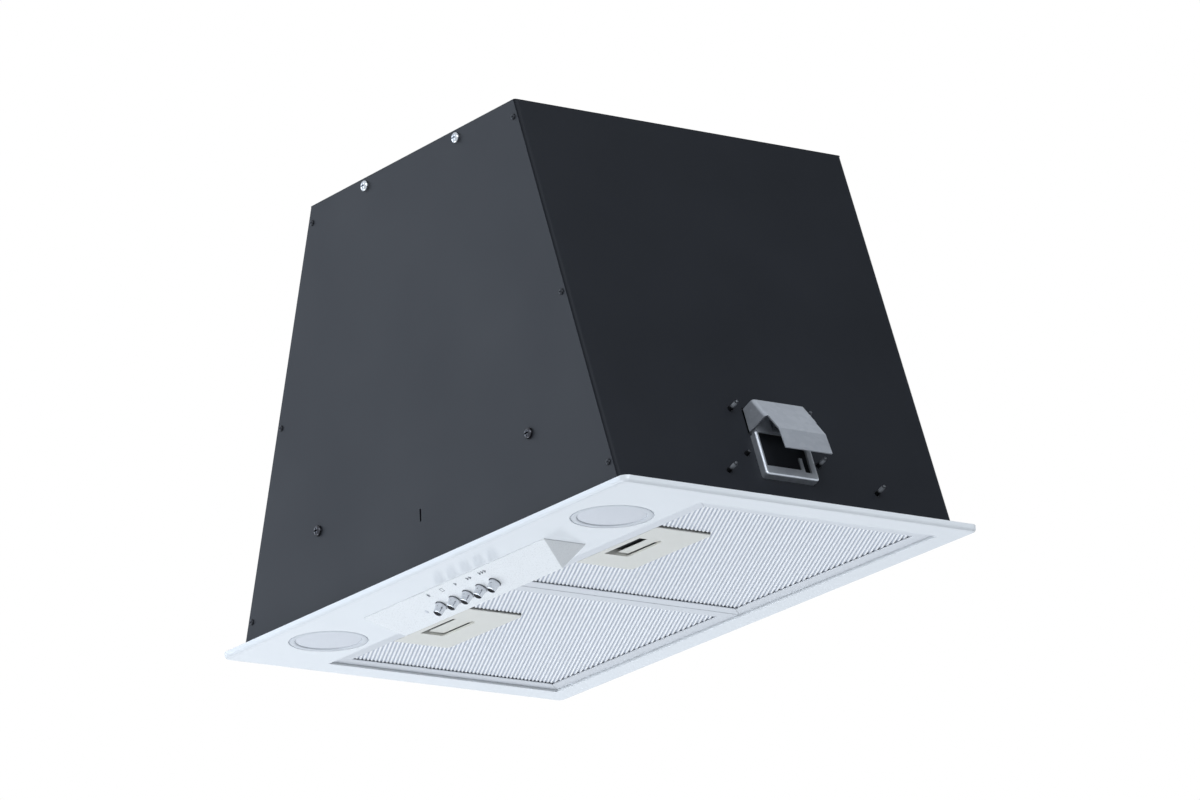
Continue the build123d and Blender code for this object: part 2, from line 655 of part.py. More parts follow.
def leaf_plane():
    """The outer face of the right catch's leaf at its top edge, with its normal down along the leaf."""
    along = Vector(0, CATCH_CREASE - CATCH_TOP, CATCH_CREASE_OUT - CATCH_TOP_OUT)
    return Plane((CATCH_CENTRE, CATCH_TOP, CATCH_TOP_OUT), x_dir=(1, 0, 0), z_dir=along)


def leaf_channel():
    """The upper part of the leaf: its face and two cheeks, bent from one sheet."""
    deep = CATCH_CREASE_OUT
    outer = Pos(0, -deep / 2) * Rectangle(CATCH_WIDTH, deep)
    outer = fillet(outer.vertices().group_by(Axis.Y)[-1], CATCH_BEND)
    inner = Pos(0, -CATCH_SHEET - deep / 2) * Rectangle(CATCH_WIDTH - 2 * CATCH_SHEET, deep)
    inner = fillet(inner.vertices().group_by(Axis.Y)[-1], CATCH_BEND - CATCH_SHEET)
    channel = leaf_plane() * (Pos(0, 0, -deep) * extrude(outer - inner, 3 * deep))
    return channel & box((CATCH_CENTRE - CATCH_WIDTH, CATCH_CHEEK_END, SEAT_PLAY),
                         (CATCH_CENTRE + CATCH_WIDTH, CATCH_TOP, 2 * deep))


def catch_leaf():
    """The folding leaf of the right catch: a slanted face, a lip, and two cheeks on the pivot."""
    inward = leaf_plane().y_dir * (CATCH_SHEET / 2)
    bends = [(CATCH_TOP, CATCH_TOP_OUT), (CATCH_CREASE, CATCH_CREASE_OUT), (CATCH_LIP, CATCH_LIP_OUT)]
    line = FilletPolyline(*[(up - inward.Y, out - inward.Z) for up, out in bends], radius=CATCH_CREASE_BEND)
    half = CATCH_WIDTH / 2 - CATCH_BEND
    face = across(trace(line, CATCH_SHEET), CATCH_CENTRE - half, CATCH_CENTRE + half)
    face &= box((-CASE_DEPTH, 0, 0), (CASE_DEPTH, CATCH_TOP, 2 * CATCH_CREASE_OUT))
    leaf = face + leaf_channel()
    return SIDE_PLANE * (leaf - pivot_hole(CATCH_PIN_RADIUS + CATCH_TURN_PLAY))


def catch_pins():
    """The pivot pins of both catches, riveted flush with the cheeks."""
    reach = CATCH_WIDTH / 2
    circle = Pos(CATCH_PIVOT, CATCH_PIVOT_OUT) * Circle(CATCH_PIN_RADIUS)
    right = SIDE_PLANE * across(circle, CATCH_CENTRE - reach, CATCH_CENTRE + reach)
    return [right, left_of(right)]


def catch_spring():
    """The leaf spring of the right catch, from the bracket's neck to the inside of the leaf."""
    half = CATCH_SPRING_SHEET / 2
    foot_out = BRACKET_OUT + half
    fall = (CATCH_CREASE_OUT - CATCH_TOP_OUT) / (CATCH_CREASE - CATCH_TOP)
    tip_up = CATCH_CREASE + CATCH_SPRING_REST
    leaf_out = CATCH_TOP_OUT + fall * (tip_up - CATCH_TOP)
    tip_out = leaf_out - CATCH_SHEET - CATCH_SPRING_SHEET - 2 * SEAT_PLAY
    foot_end = BRACKET_NECK + CATCH_SHEET
    line = FilletPolyline((CATCH_PIVOT - BRACKET_EAR, foot_out), (foot_end, foot_out),
                          (tip_up, tip_out), radius=CATCH_SPRING_BEND)
    strip = trace(line, CATCH_SPRING_SHEET)
    reach = CATCH_SPRING_WIDTH / 2
    return SIDE_PLANE * across(strip, CATCH_CENTRE - reach, CATCH_CENTRE + reach)


def lamp_plane():
    """The right lamp's axis, at the underside of the plate."""
    return Plane((LAMP_X, LAMP_Y, PLATE_UNDER))


def lamp_body():
    """The right lamp's bezel, flange and can, turned in one piece."""
    flange_low = PLATE_SHEET
    flange_high = flange_low + LAMP_FLANGE_SHEET
    can_top = LAMP_CAN_TOP - PLATE_UNDER
    seat = LENS_RECESS + LENS_THICKNESS
    hollow = LENS_RADIUS - LAMP_WALL
    rim = LENS_RADIUS + LENS_PLAY
    points = [(rim, 0), (LAMP_RADIUS, 0), (LAMP_RADIUS, flange_low), (LAMP_FLANGE, flange_low),
              (LAMP_FLANGE, flange_high), (LAMP_CAN_RADIUS, flange_high), (LAMP_CAN_RADIUS, can_top),
              (0, can_top), (0, can_top - LAMP_WALL), (hollow, can_top - LAMP_WALL), (hollow, seat),
              (rim, seat)]
    return lamp_plane() * turned(points)


def lamp_lens():
    """The right lamp's frosted disc, a little crowned."""
    seat = LENS_RECESS + LENS_THICKNESS
    middle = LENS_RECESS - LENS_CROWN
    section = Polyline((0, middle), (0, seat), (LENS_RADIUS, seat), (LENS_RADIUS, LENS_RECESS))
    section += crown((LENS_RADIUS, LENS_RECESS), middle)
    return lamp_plane() * revolve(Plane.XZ * make_face(section), Axis.Z)


def led_board():
    """The right lamp's round board with its diodes, under the can's end."""
    top = LAMP_CAN_TOP - PLATE_UNDER - LAMP_WALL
    low = top - LED_BOARD_SHEET
    board = rod(Plane.XY, low, top, LED_BOARD_RADIUS)
    for place in PolarLocations(LED_CIRCLE, LED_COUNT):
        board += place * (Pos(0, 0, low - LED_HEIGHT / 2) * Box(LED_SIZE, LED_SIZE, LED_HEIGHT))
    return lamp_plane() * board


def led_boards():
    right = led_board()
    return [right, left_of(right)]


def control_wedge(inset):
    """The control box's outside, or its hollow when each wall is moved in by an inset."""
    run = CONTROL_RIDGE - CONTROL_FRONT
    rear = CONTROL_BACK - CONTROL_RIDGE
    overhang = (CONTROL_LENGTH - CONTROL_RIDGE_LENGTH) / 2
    walls = [((0, CONTROL_FRONT), Vector(0, -CONTROL_DROP, -run)),
             ((0, CONTROL_BACK), Vector(0, CONTROL_DROP, -rear)),
             ((CONTROL_LENGTH / 2, 0), Vector(CONTROL_DROP, 0, -overhang)),
             ((-CONTROL_LENGTH / 2, 0), Vector(-CONTROL_DROP, 0, -overhang))]
    solid = box((-CONTROL_LENGTH, 2 * CONTROL_FRONT, PLATE_UNDER - 2 * CONTROL_DROP),
                (CONTROL_LENGTH, -CONTROL_FRONT, PLATE_UNDER))
    for (x, y), normal in walls:
        out = normal.normalized()
        wall = Plane(Vector(x, y, PLATE_UNDER) - out * inset, z_dir=out)
        solid = split(solid, bisect_by=wall, keep=Keep.BOTTOM)
    return solid


def control_box():
    outside = control_wedge(0)
    lower_edges = outside.edges().filter_by(lambda edge: edge.center().Z < PLATE_UNDER - CONTROL_EDGE)
    shell = fillet(lower_edges, CONTROL_EDGE) - control_wedge(CONTROL_WALL)
    row = at(CONTROL_PLANE, 0, -BUTTON_ROW_DOWN)
    for x in BUTTON_XS:
        shell -= rod(at(row, x, 0), -2 * CONTROL_WALL, CONTROL_WALL, BUTTON_RADIUS + BUTTON_PLAY)
    return shell - rod(at(row, PILOT_X, 0), -2 * CONTROL_WALL, CONTROL_WALL, PILOT_RADIUS + LENS_PLAY)


def pilot_lens():
    """The small indicator lens, held behind the control box's face by its head."""
    head_end = -CONTROL_WALL - PILOT_HEAD_HEIGHT
    points = [(0, head_end), (PILOT_HEAD, head_end), (PILOT_HEAD, -CONTROL_WALL),
              (PILOT_RADIUS, -CONTROL_WALL), (PILOT_RADIUS, 0), (PILOT_RADIUS / 2, PILOT_PROUD),
              (0, PILOT_PROUD)]
    return at(CONTROL_PLANE, PILOT_X, -BUTTON_ROW_DOWN) * turned(points)


def switch_block():
    """The row of push switches behind the buttons, with a lug at each end on the box's wall."""
    half = SWITCH_THICKNESS / 2
    body = box((-SWITCH_HALF_LENGTH, -half, SWITCH_FACE - SWITCH_DEPTH),
               (SWITCH_HALF_LENGTH, half, SWITCH_FACE))
    for side in (1, -1):
        near = side * SWITCH_HALF_LENGTH
        far = near - side * SWITCH_LUG
        body += box((min(near, far), -half, SWITCH_FACE), (max(near, far), half, -CONTROL_WALL))
    stem_end = -BUTTON_COLLAR - BUTTON_STEM - BUTTON_TRAVEL - BUTTON_ROOT
    for x in BUTTON_XS:
        body -= rod(at(Plane.XY, x - BUTTON_ROW_X, 0), stem_end, 0, BUTTON_STEM_RADIUS + BUTTON_PLAY)
    return at(CONTROL_PLANE, BUTTON_ROW_X, -BUTTON_ROW_DOWN) * body


def button(x):
    """One plated push button: a tapered cap with a crowned end, and a stem in its switch."""
    shoulder = BUTTON_HEIGHT - BUTTON_CROWN
    stem_end = -BUTTON_COLLAR - BUTTON_STEM
    section = Polyline((0, BUTTON_HEIGHT), (0, stem_end), (BUTTON_STEM_RADIUS, stem_end),
                       (BUTTON_STEM_RADIUS, -BUTTON_COLLAR), (BUTTON_RADIUS, -BUTTON_COLLAR),
                       (BUTTON_RADIUS, BUTTON_COLLAR), (BUTTON_TIP_RADIUS, shoulder))
    section += crown((BUTTON_TIP_RADIUS, shoulder), BUTTON_HEIGHT)
    cap = revolve(Plane.XZ * make_face(section), Axis.Z)
    return at(CONTROL_PLANE, x, -BUTTON_ROW_DOWN) * cap


def electrics_bracket():
    """A folded shelf inside the front panel."""
    leg = box((-SHELF_HALF_WIDTH, FRONT_INNER, SHELF_BOTTOM),
              (SHELF_HALF_WIDTH, FRONT_INNER + SHELF_SHEET, SHELF_BOTTOM + SHELF_LEG))
    shelf = box((-SHELF_HALF_WIDTH, FRONT_INNER, SHELF_BOTTOM),
                (SHELF_HALF_WIDTH, FRONT_INNER + SHELF_DEPTH, SHELF_TOP))
    bracket = leg + shelf
    for bar in bracket_holes():
        bracket -= bar
    return bracket


def terminal_box():
    width, depth, height = TERMINAL_SIZE
    left = TERMINAL_X - width / 2
    right = TERMINAL_X + width / 2
    back = SHELF_FRONT + depth
    wall = TERMINAL_WALL
    outer = box((left, SHELF_FRONT, SHELF_TOP), (right, back, SHELF_TOP + height))
    outer = fillet(outer.edges().filter_by(Axis.Z), wall)
    hollow = box((left + wall, SHELF_FRONT + wall, SHELF_TOP + wall),
                 (right - wall, back - wall, SHELF_TOP + 2 * height))
    return outer - hollow


def terminal_lid():
    width, depth, height = TERMINAL_SIZE
    low = SHELF_TOP + height
    lid = box((TERMINAL_X - width / 2, SHELF_FRONT, low),
              (TERMINAL_X + width / 2, SHELF_FRONT + depth, low + TERMINAL_LID))
    return fillet(lid.edges().filter_by(Axis.Z), TERMINAL_WALL)


def lamp_driver():
    width, depth, height = DRIVER_SIZE
    case = box((DRIVER_X - width / 2, SHELF_FRONT, SHELF_TOP),
               (DRIVER_X + width / 2, SHELF_FRONT + depth, SHELF_TOP + height))
    return fillet(case.edges().filter_by(Axis.Z), DRIVER_EDGE)


def motor_capacitor():
    place = Plane((CAPACITOR_X, SHELF_FRONT + CAPACITOR_RADIUS, SHELF_TOP))
    can = Cylinder(CAPACITOR_RADIUS, CAPACITOR_HEIGHT, align=RISE)
    return place * fillet(can.edges().sort_by(Axis.Z)[-1], CAPACITOR_EDGE)


def filter_outline(inset):
    """The right filter's plan, moved in by an inset."""
    return [(FILTER_X - FILTER_WIDTH / 2 + inset, FILTER_FRONT + inset),
            (FILTER_X + FILTER_WIDTH / 2 - inset, FILTER_BACK - inset)]


def filter_block(inset, low, high):
    """A box over the right filter's plan, moved in by an inset."""
    near, far = filter_outline(inset)
    return box((*near, low), (*far, high))


def filter_frame():
    """The right filter's folded channel frame, with two tabs that rest on the plate's rear wall."""
    frame = filter_block(0, FILTER_BOTTOM, FILTER_TOP)
    frame -= filter_block(FILTER_SHEET, FILTER_BOTTOM + FILTER_SHEET, FILTER_TOP - FILTER_SHEET)
    frame -= filter_block(FILTER_BAR, FILTER_BOTTOM - FILTER_SHEET, FILTER_TOP + FILTER_SHEET)
    tab_low = OPENING_WALL_TOP + SEAT_PLAY
    tab_high = tab_low + FILTER_TAB_SHEET
    for side in (1, -1):
        x = FILTER_X + side * FILTER_TAB_X
        frame += box((x - FILTER_TAB_WIDTH / 2, FILTER_BACK - FILTER_SHEET, tab_low),
                     (x + FILTER_TAB_WIDTH / 2, FILTER_BACK + FILTER_TAB_LENGTH, tab_high))
    reach = SLIDER_ARM_WIDTH / 2 + SLIDER_PLAY
    slot = box((FILTER_X - reach, FILTER_FRONT - FILTER_GAP, TONGUE_BOTTOM - SLIDER_PLAY),
               (FILTER_X + reach, FILTER_FRONT + FILTER_GAP, ARM_TOP + SLIDER_PLAY))
    return frame - slot


def latch_plan(grow):
    """The plan of the right latch housing behind the frame's front bar, grown by a clearance."""
    near = LATCH_FRONT - FILTER_BAR
    outline = Pos(FILTER_X, (near + LATCH_BACK + grow) / 2)
    outline *= Rectangle(LATCH_WIDTH + 2 * grow, LATCH_BACK + grow - near)
    return fillet(outline.vertices().group_by(Axis.Y)[-1], LATCH_CORNER + grow)


def filter_mesh():
    """The right filter's pack: a crimped lower sheet and a flat upper sheet."""
    low = FILTER_BOTTOM + FILTER_SHEET + SEAT_PLAY
    high = FILTER_TOP - FILTER_SHEET - SEAT_PLAY
    room = filter_block(FILTER_SHEET + FILTER_PLAY, low, high)
    latch = latch_plan(FILTER_PLAY - LATCH_RIM_REACH)
    room -= Pos(0, 0, low - MESH_SHEET) * extrude(latch, 2 * FILTER_THICKNESS)
    span = (FILTER_WIDTH + OPENING_DEPTH) / 2
    count = int(2 * span / MESH_PITCH)
    start = -count * MESH_PITCH / 2
    lower = [(start + MESH_PITCH / 2 * i, low + MESH_CRIMP * (i % 2)) for i in range(2 * count + 1)]
    upper = [(t, z + MESH_SHEET) for t, z in reversed(lower)]
    middle = Plane((FILTER_X, (FILTER_FRONT + FILTER_BACK) / 2, 0)).rotated((0, 0, MESH_TURN))
    drawing = Plane(middle.origin - middle.x_dir * span, x_dir=middle.y_dir, z_dir=middle.x_dir)
    crimped = extrude(drawing * make_face(Polyline(*lower, *upper, close=True)), 2 * span)
    flat = filter_block(FILTER_SHEET + FILTER_PLAY, high - MESH_SHEET, high)
    return [crimped & room, flat & room]


def latch_housing():
    """The right latch's moulding: a rim over the mesh, a finger recess and a guide for the slider."""
    low_front = FILTER_BOTTOM + FILTER_SHEET + SEAT_PLAY
    body = Pos(0, 0, FILTER_BOTTOM) * extrude(latch_plan(-LATCH_RIM_REACH), LATCH_TOP - FILTER_BOTTOM)
    body += Pos(0, 0, FILTER_BOTTOM) * extrude(latch_plan(0), LATCH_RIM)
    body -= box((FILTER_X - LATCH_WIDTH, FILTER_FRONT - FILTER_GAP, FILTER_BOTTOM - FILTER_SHEET),
                (FILTER_X + LATCH_WIDTH, LATCH_FRONT + SEAT_PLAY, low_front))
    body -= box((FILTER_X - LATCH_WIDTH, FILTER_FRONT - FILTER_GAP, FILTER_BOTTOM),
                (FILTER_X + LATCH_WIDTH, FILTER_FRONT + FILTER_SHEET + SEAT_PLAY, FILTER_TOP))
    half = RECESS_WIDTH / 2
    recess = Rectangle(RECESS_WIDTH, RECESS_DEPTH)
    recess = fillet(recess.vertices().group_by(Axis.Y)[-1], RECESS_CORNER)
    recess_place = Pos(FILTER_X, RECESS_FRONT + RECESS_DEPTH / 2, FILTER_BOTTOM - LATCH_WALL)
    body -= recess_place * extrude(recess, LATCH_FLOOR - FILTER_BOTTOM + LATCH_WALL)
    body -= box((FILTER_X - half, RECESS_FRONT, LATCH_FLOOR),
                (FILTER_X + half, LATCH_CAVITY_BACK, SLIDER_TOP + SLIDER_PLAY))
    reach = SLIDER_ARM_WIDTH / 2 + SLIDER_PLAY
    body -= box((FILTER_X - reach, FILTER_FRONT, SLIDER_TOP),
                (FILTER_X + reach, LATCH_CAVITY_BACK, ARM_TOP + SLIDER_PLAY))
    return body - box((FILTER_X - reach, FILTER_FRONT, TONGUE_BOTTOM - SLIDER_PLAY),
                      (FILTER_X + reach, RECESS_FRONT, ARM_TOP + SLIDER_PLAY))


def latch_slider():
    """The right latch's sliding piece: finger plate, arm, and tongue over the plate's wall."""
    half = RECESS_WIDTH / 2 - SLIDER_PLAY
    arm = SLIDER_ARM_WIDTH / 2
    plate = box((FILTER_X - half, SLIDER_FRONT, SLIDER_BOTTOM), (FILTER_X + half, SLIDER_BACK, SLIDER_TOP))
    plate += box((FILTER_X - arm, TONGUE_TIP, SLIDER_TOP), (FILTER_X + arm, SLIDER_BACK, ARM_TOP))
    return plate + box((FILTER_X - arm, TONGUE_TIP, TONGUE_BOTTOM),
                       (FILTER_X + arm, TONGUE_TIP + TONGUE_LENGTH, ARM_TOP))


def latch_spring():
    """The right latch's bowed leaf spring, between the slider and the housing's back wall."""
    low = SLIDER_BOTTOM
    near = SLIDER_BACK + SEAT_PLAY
    far = LATCH_CAVITY_BACK - SEAT_PLAY
    half = LATCH_SPRING_SHEET / 2
    span = LATCH_SPRING_SPAN / 2
    line = FilletPolyline((FILTER_X - span, far - half), (FILTER_X - span / 2, far - half),
                          (FILTER_X - span / 4, near + half), (FILTER_X + span / 4, near + half),
                          (FILTER_X + span / 2, far - half), (FILTER_X + span, far - half),
                          radius=LATCH_SPRING_SHEET)
    return Pos(0, 0, low) * extrude(trace(line, LATCH_SPRING_SHEET), LATCH_SPRING_WIDTH)


def scroll_plan():
    """The inside of the scroll, drawn round the fan's axis: four arcs of growing radius and an outlet."""
    step = SCROLL_STEP
    half = step / 2
    radii = [SCROLL_FIRST_RADIUS + step * i for i in range(4)]
    centres = [(-half, half), (-half, -half), (half, -half), (half, half)]
    turns = [(SCROLL_TONGUE, 90), (90, 180), (180, 270), (270, 360)]
    arcs = [CenterArc(centre, radius, start, end - start)
            for centre, radius, (start, end) in zip(centres, radii, turns)]
    tongue = arcs[0] @ 0
    right = arcs[3] @ 1
    mouth_z = TOP_UNDER - FAN_Z
    outlet = Polyline(right, (right.X, mouth_z), (right.X - SCROLL_MOUTH, mouth_z), tongue)
    return make_face(Curve() + arcs + outlet)


def scroll_half():
    """The right half of the scroll: side wall with a lipped inlet, outer wall and joining rim."""
    inside = scroll_plan()
    outside = offset(inside, SCROLL_WALL, kind=Kind.INTERSECTION)
    rim = offset(inside, SCROLL_WALL + SCROLL_RIM, kind=Kind.INTERSECTION)
    shell = extrude(outside, SCROLL_SIDE) + extrude(rim, SCROLL_RIM_SHEET)
    lip = Cylinder(INLET_RADIUS + INLET_LIP_WALL, SCROLL_SIDE + INLET_LIP, align=RISE)
    lip -= Cylinder(INLET_RADIUS, 3 * SCROLL_SIDE)
    lip = fillet(lip.faces().sort_by(Axis.Z)[-1].edges(), INLET_LIP_EDGE)
    shell += lip
    shell -= extrude(inside, SCROLL_HALF_WIDTH)
    shell -= Cylinder(INLET_RADIUS, 3 * SCROLL_SIDE)
    trim = box((-CASE_DEPTH, -CASE_HEIGHT, 0), (CASE_DEPTH, TOP_UNDER - FAN_Z, CASE_DEPTH))
    return FAN_PLANE * (shell & trim)


def fan_wheel():
    """The double-inlet wheel: hub, middle disc, end rings and curved blades."""
    ring = Circle(FAN_RADIUS) - Circle(FAN_INNER)
    wheel = rod(Plane.XY, -FAN_DISC / 2, FAN_DISC / 2, FAN_RADIUS)
    wheel += rod(Plane.XY, -FAN_HUB_HALF, FAN_HUB_HALF, FAN_HUB_RADIUS)
    blade = blade_plan()
    blades = [Rot(0, 0, 360 / BLADE_COUNT * i) * blade for i in range(BLADE_COUNT)]
    wheel += [Pos(0, 0, -FAN_HALF_WIDTH) * extrude(plan, 2 * FAN_HALF_WIDTH) for plan in blades]
    for low in (-FAN_HALF_WIDTH, FAN_HALF_WIDTH - FAN_RING):
        wheel += Pos(0, 0, low) * extrude(ring, FAN_RING)
    return FAN_PLANE * (wheel - Cylinder(SHAFT_RADIUS + SHAFT_PLAY, 4 * FAN_HALF_WIDTH))


def blade_plan():
    """The section of one blade, bent once between the ring's two edges."""
    inner = FAN_INNER + BLADE_SHEET
    outer = FAN_RADIUS - BLADE_SHEET
    middle = (inner + outer) / 2
    return trace(Polyline((inner, 0), (middle, -BLADE_LEAN / 2), (outer, BLADE_LEAN / 2)), BLADE_SHEET)


def fan_shaft():
    return rod(FAN_PLANE, SHAFT_LEFT, SPIDER_X - MOTOR_EDGE, SHAFT_RADIUS)


def motor_body():
    """The motor's can, with its bore for the shaft and a rounded end."""
    can = Pos(0, 0, MOTOR_LEFT) * Cylinder(MOTOR_RADIUS, MOTOR_LENGTH, align=RISE)
    can = fillet(can.edges().sort_by(Axis.Z)[0], MOTOR_EDGE)
    return FAN_PLANE * (can - Cylinder(SHAFT_RADIUS + SHAFT_PLAY, 2 * (SPIDER_X - MOTOR_EDGE / 2)))


def spider_angles():
    return [90 + 360 / SPIDER_COUNT * i for i in range(SPIDER_COUNT)]


def motor_bracket():
    """The spider that carries the motor in the right inlet."""
    plan = Circle(SPIDER_DISC)
    for angle in spider_angles():
        arm = Pos(SPIDER_REACH / 2, 0) * Rectangle(SPIDER_REACH, SPIDER_ARM)
        foot = Pos(SPIDER_REACH, 0) * Circle(SPIDER_FOOT)
        plan += Rot(0, 0, angle) * (arm + foot)
    return FAN_PLANE * (Pos(0, 0, SPIDER_X) * extrude(plan, SPIDER_SHEET))


def motor_grommets():
    """The waisted rubber feet between the spider and the scroll's side."""
    height = SPIDER_X - SCROLL_SIDE
    points = [(0, 0), (GROMMET_RADIUS, 0), (GROMMET_RADIUS, height / 4), (GROMMET_WAIST, height / 2),
              (GROMMET_RADIUS, height * 3 / 4), (GROMMET_RADIUS, height), (0, height)]
    foot = Pos(SPIDER_REACH, 0, SCROLL_SIDE) * turned(points)
    return [FAN_PLANE * (Rot(0, 0, angle) * foot) for angle in spider_angles()]


def outlet_collar():
    """The duct's spigot, with its flange on the top and a ledge that stops the flaps."""
    ledge_top = FLAP_PIN_HEIGHT - FLAP_DROP - FLAP_SHEET - SEAT_PLAY
    ledge_low = ledge_top - COLLAR_LEDGE_SHEET
    ledge_bore = SPIGOT_BORE - COLLAR_LEDGE
    flange = SPIGOT_RADIUS + COLLAR_FLANGE
    points = [(SPIGOT_BORE, 0), (flange, 0), (flange, COLLAR_FLANGE_SHEET),
              (SPIGOT_RADIUS, COLLAR_FLANGE_SHEET), (SPIGOT_RADIUS, COLLAR_HEIGHT),
              (SPIGOT_BORE, COLLAR_HEIGHT), (SPIGOT_BORE, ledge_top), (ledge_bore, ledge_top),
              (ledge_bore, ledge_low), (SPIGOT_BORE, ledge_low)]
    return COLLAR_PLANE * (turned(points) - flap_bar(FLAP_PIN_RADIUS + FLAP_TURN_PLAY, 2 * DUCT_RADIUS))


def flap_bar(radius, length):
    """A bar along the flaps' hinge line, over the collar's plane."""
    return Pos(0, 0, FLAP_PIN_HEIGHT) * (Rot(0, 90, 0) * Cylinder(radius, length))


def flap_pin():
    return COLLAR_PLANE * flap_bar(FLAP_PIN_RADIUS, 2 * (SPIGOT_RADIUS - DUCT_PLAY))


def flap():
    """The front non-return flap: half a disc on two knuckles, closed."""
    top = FLAP_PIN_HEIGHT - FLAP_DROP
    edge = FLAP_KNUCKLE + FLAP_PLAY
    disc = Circle(SPIGOT_BORE - FLAP_PLAY)
    half = disc & (Pos(0, -edge - DUCT_RADIUS) * Rectangle(2 * DUCT_RADIUS, 2 * DUCT_RADIUS))
    for x in FLAP_KNUCKLE_X:
        half += Pos(x, -edge / 2 - FLAP_PLAY) * Rectangle(FLAP_KNUCKLE_LENGTH, edge)
    leaf = Pos(0, 0, top - FLAP_SHEET) * extrude(half, FLAP_SHEET)
    for x in FLAP_KNUCKLE_X:
        leaf += Pos(x, 0, 0) * flap_bar(FLAP_KNUCKLE, FLAP_KNUCKLE_LENGTH)
    return leaf - flap_bar(FLAP_PIN_RADIUS + FLAP_TURN_PLAY, 2 * DUCT_RADIUS)


def gland_plane():
    return Plane((GLAND_X, GLAND_Y, CASE_HEIGHT))


def cable_gland():
    """The bush that the mains lead comes through, with its head on the top and its nut below."""
    nut_low = -CASE_SHEET - GLAND_NUT_HEIGHT
    points = [(GLAND_BORE, nut_low), (GLAND_HEAD, nut_low), (GLAND_HEAD, -CASE_SHEET),
              (GLAND_RADIUS, -CASE_SHEET), (GLAND_RADIUS, 0), (GLAND_HEAD, 0),
              (GLAND_HEAD, GLAND_HEAD_HEIGHT / 2), (GLAND_RADIUS, GLAND_HEAD_HEIGHT),
              (GLAND_BORE, GLAND_HEAD_HEIGHT)]
    return gland_plane() * turned(points)


def write(node, solids):
    """Write one node: a solid, or a group of like solids."""
    group = solids if isinstance(solids, list) else [solids]
    shapes = [solid for part in group for solid in part.solids()]
    whole = shapes[0] if len(shapes) == 1 else Compound(children=shapes)
    export_step(whole, f"parts/{node}.step")


def write_pair(piece, solids, copy):
    """Write a right-hand piece and its left-hand copy."""
    group = solids if isinstance(solids, list) else [solids]
    write(f"right_{piece}", group)
    write(f"left_{piece}", [copy(part) for part in group])


os.makedirs("parts", exist_ok=True)

write("face_plate", face_plate())
write("front_panel", front_panel())
write("back_panel", back_panel())
write("top_panel", top_panel())
write("edge_screws", edge_screws())
write("top_screws", top_screws())
write("bracket_screws", bracket_screws())
write("side_screws", side_screws())
write("catch_pins", catch_pins())
write("led_boards", led_boards())
write("control_box", control_box())
write("pilot_lens", pilot_lens())
write("switch_block", switch_block())
for name, x in zip(BUTTON_NAMES, BUTTON_XS):
    write(f"{name}_button", button(x))
write("electrics_bracket", electrics_bracket())
write("terminal_box", terminal_box())
write("terminal_lid", terminal_lid())
write("lamp_driver", lamp_driver())
write("motor_capacitor", motor_capacitor())
write("fan_wheel", fan_wheel())
write("fan_shaft", fan_shaft())
write("motor_body", motor_body())
write("motor_bracket", motor_bracket())
write("motor_grommets", motor_grommets())
write("outlet_collar", outlet_collar())
write("flap_pin", flap_pin())
write("front_flap", COLLAR_PLANE * flap())
write("rear_flap", COLLAR_PLANE * (Rot(0, 0, 180) * flap()))
write("cable_gland", cable_gland())

MIRRORED_PAIRS = {
    "side_panel": side_panel,
    "side_stiffener": side_stiffener,
    "catch_bracket": catch_bracket,
    "catch_leaf": catch_leaf,
    "catch_spring": catch_spring,
    "lamp_body": lamp_body,
    "lamp_lens": lamp_lens,
    "scroll_half": scroll_half,
}
for piece, make in MIRRORED_PAIRS.items():
    write_pair(piece, make(), left_of)

FILTER_PAIRS = {
    "filter_frame": filter_frame,
    "filter_mesh": filter_mesh,
    "latch_housing": latch_housing,
    "latch_slider": latch_slider,
    "latch_spring": latch_spring,
}
for piece, make in FILTER_PAIRS.items():
    write_pair(piece, make(), next_filter)
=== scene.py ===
import json
from math import atan2, cos, pi, radians, sin

import bpy
from mathutils import Matrix, Vector


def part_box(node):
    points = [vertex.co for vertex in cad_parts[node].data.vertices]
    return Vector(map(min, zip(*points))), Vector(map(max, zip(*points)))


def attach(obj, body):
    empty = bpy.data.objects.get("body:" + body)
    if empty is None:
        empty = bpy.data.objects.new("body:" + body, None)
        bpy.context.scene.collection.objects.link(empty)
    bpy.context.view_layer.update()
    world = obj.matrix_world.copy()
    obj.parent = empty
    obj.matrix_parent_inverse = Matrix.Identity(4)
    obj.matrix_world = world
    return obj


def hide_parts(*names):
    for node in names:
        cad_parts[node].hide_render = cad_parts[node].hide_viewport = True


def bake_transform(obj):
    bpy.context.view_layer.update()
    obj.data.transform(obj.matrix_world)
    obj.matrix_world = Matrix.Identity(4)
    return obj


# A built-in range hood seen from below: a black powder-coated canopy on a white enamelled face
# plate, with two grease filters, two lamps, a control box and a spring catch on each side.

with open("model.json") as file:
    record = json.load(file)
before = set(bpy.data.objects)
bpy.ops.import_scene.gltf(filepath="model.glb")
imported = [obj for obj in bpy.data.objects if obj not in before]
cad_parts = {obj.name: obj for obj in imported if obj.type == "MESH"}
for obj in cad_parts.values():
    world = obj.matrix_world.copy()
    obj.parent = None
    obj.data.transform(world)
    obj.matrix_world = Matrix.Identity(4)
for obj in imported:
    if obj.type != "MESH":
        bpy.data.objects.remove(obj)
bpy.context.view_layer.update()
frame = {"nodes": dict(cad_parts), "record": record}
MM = 0.001

# Sizes and places are in millimetres in the model's frame, up to the stage's, which are in metres.
# A profile is a list of (radius, height) rings.

# Face plate and canopy
PLATE_UNDER = -5.0
CASE_FOOT = -4.0
CASE_TOP = 306.0
CASE_FRONT = -140.0
CASE_BASE_HALF = 247.0
CASE_TOP_HALF = 136.0
SIDE_TILT = atan2(CASE_BASE_HALF - CASE_TOP_HALF, CASE_TOP - CASE_FOOT)

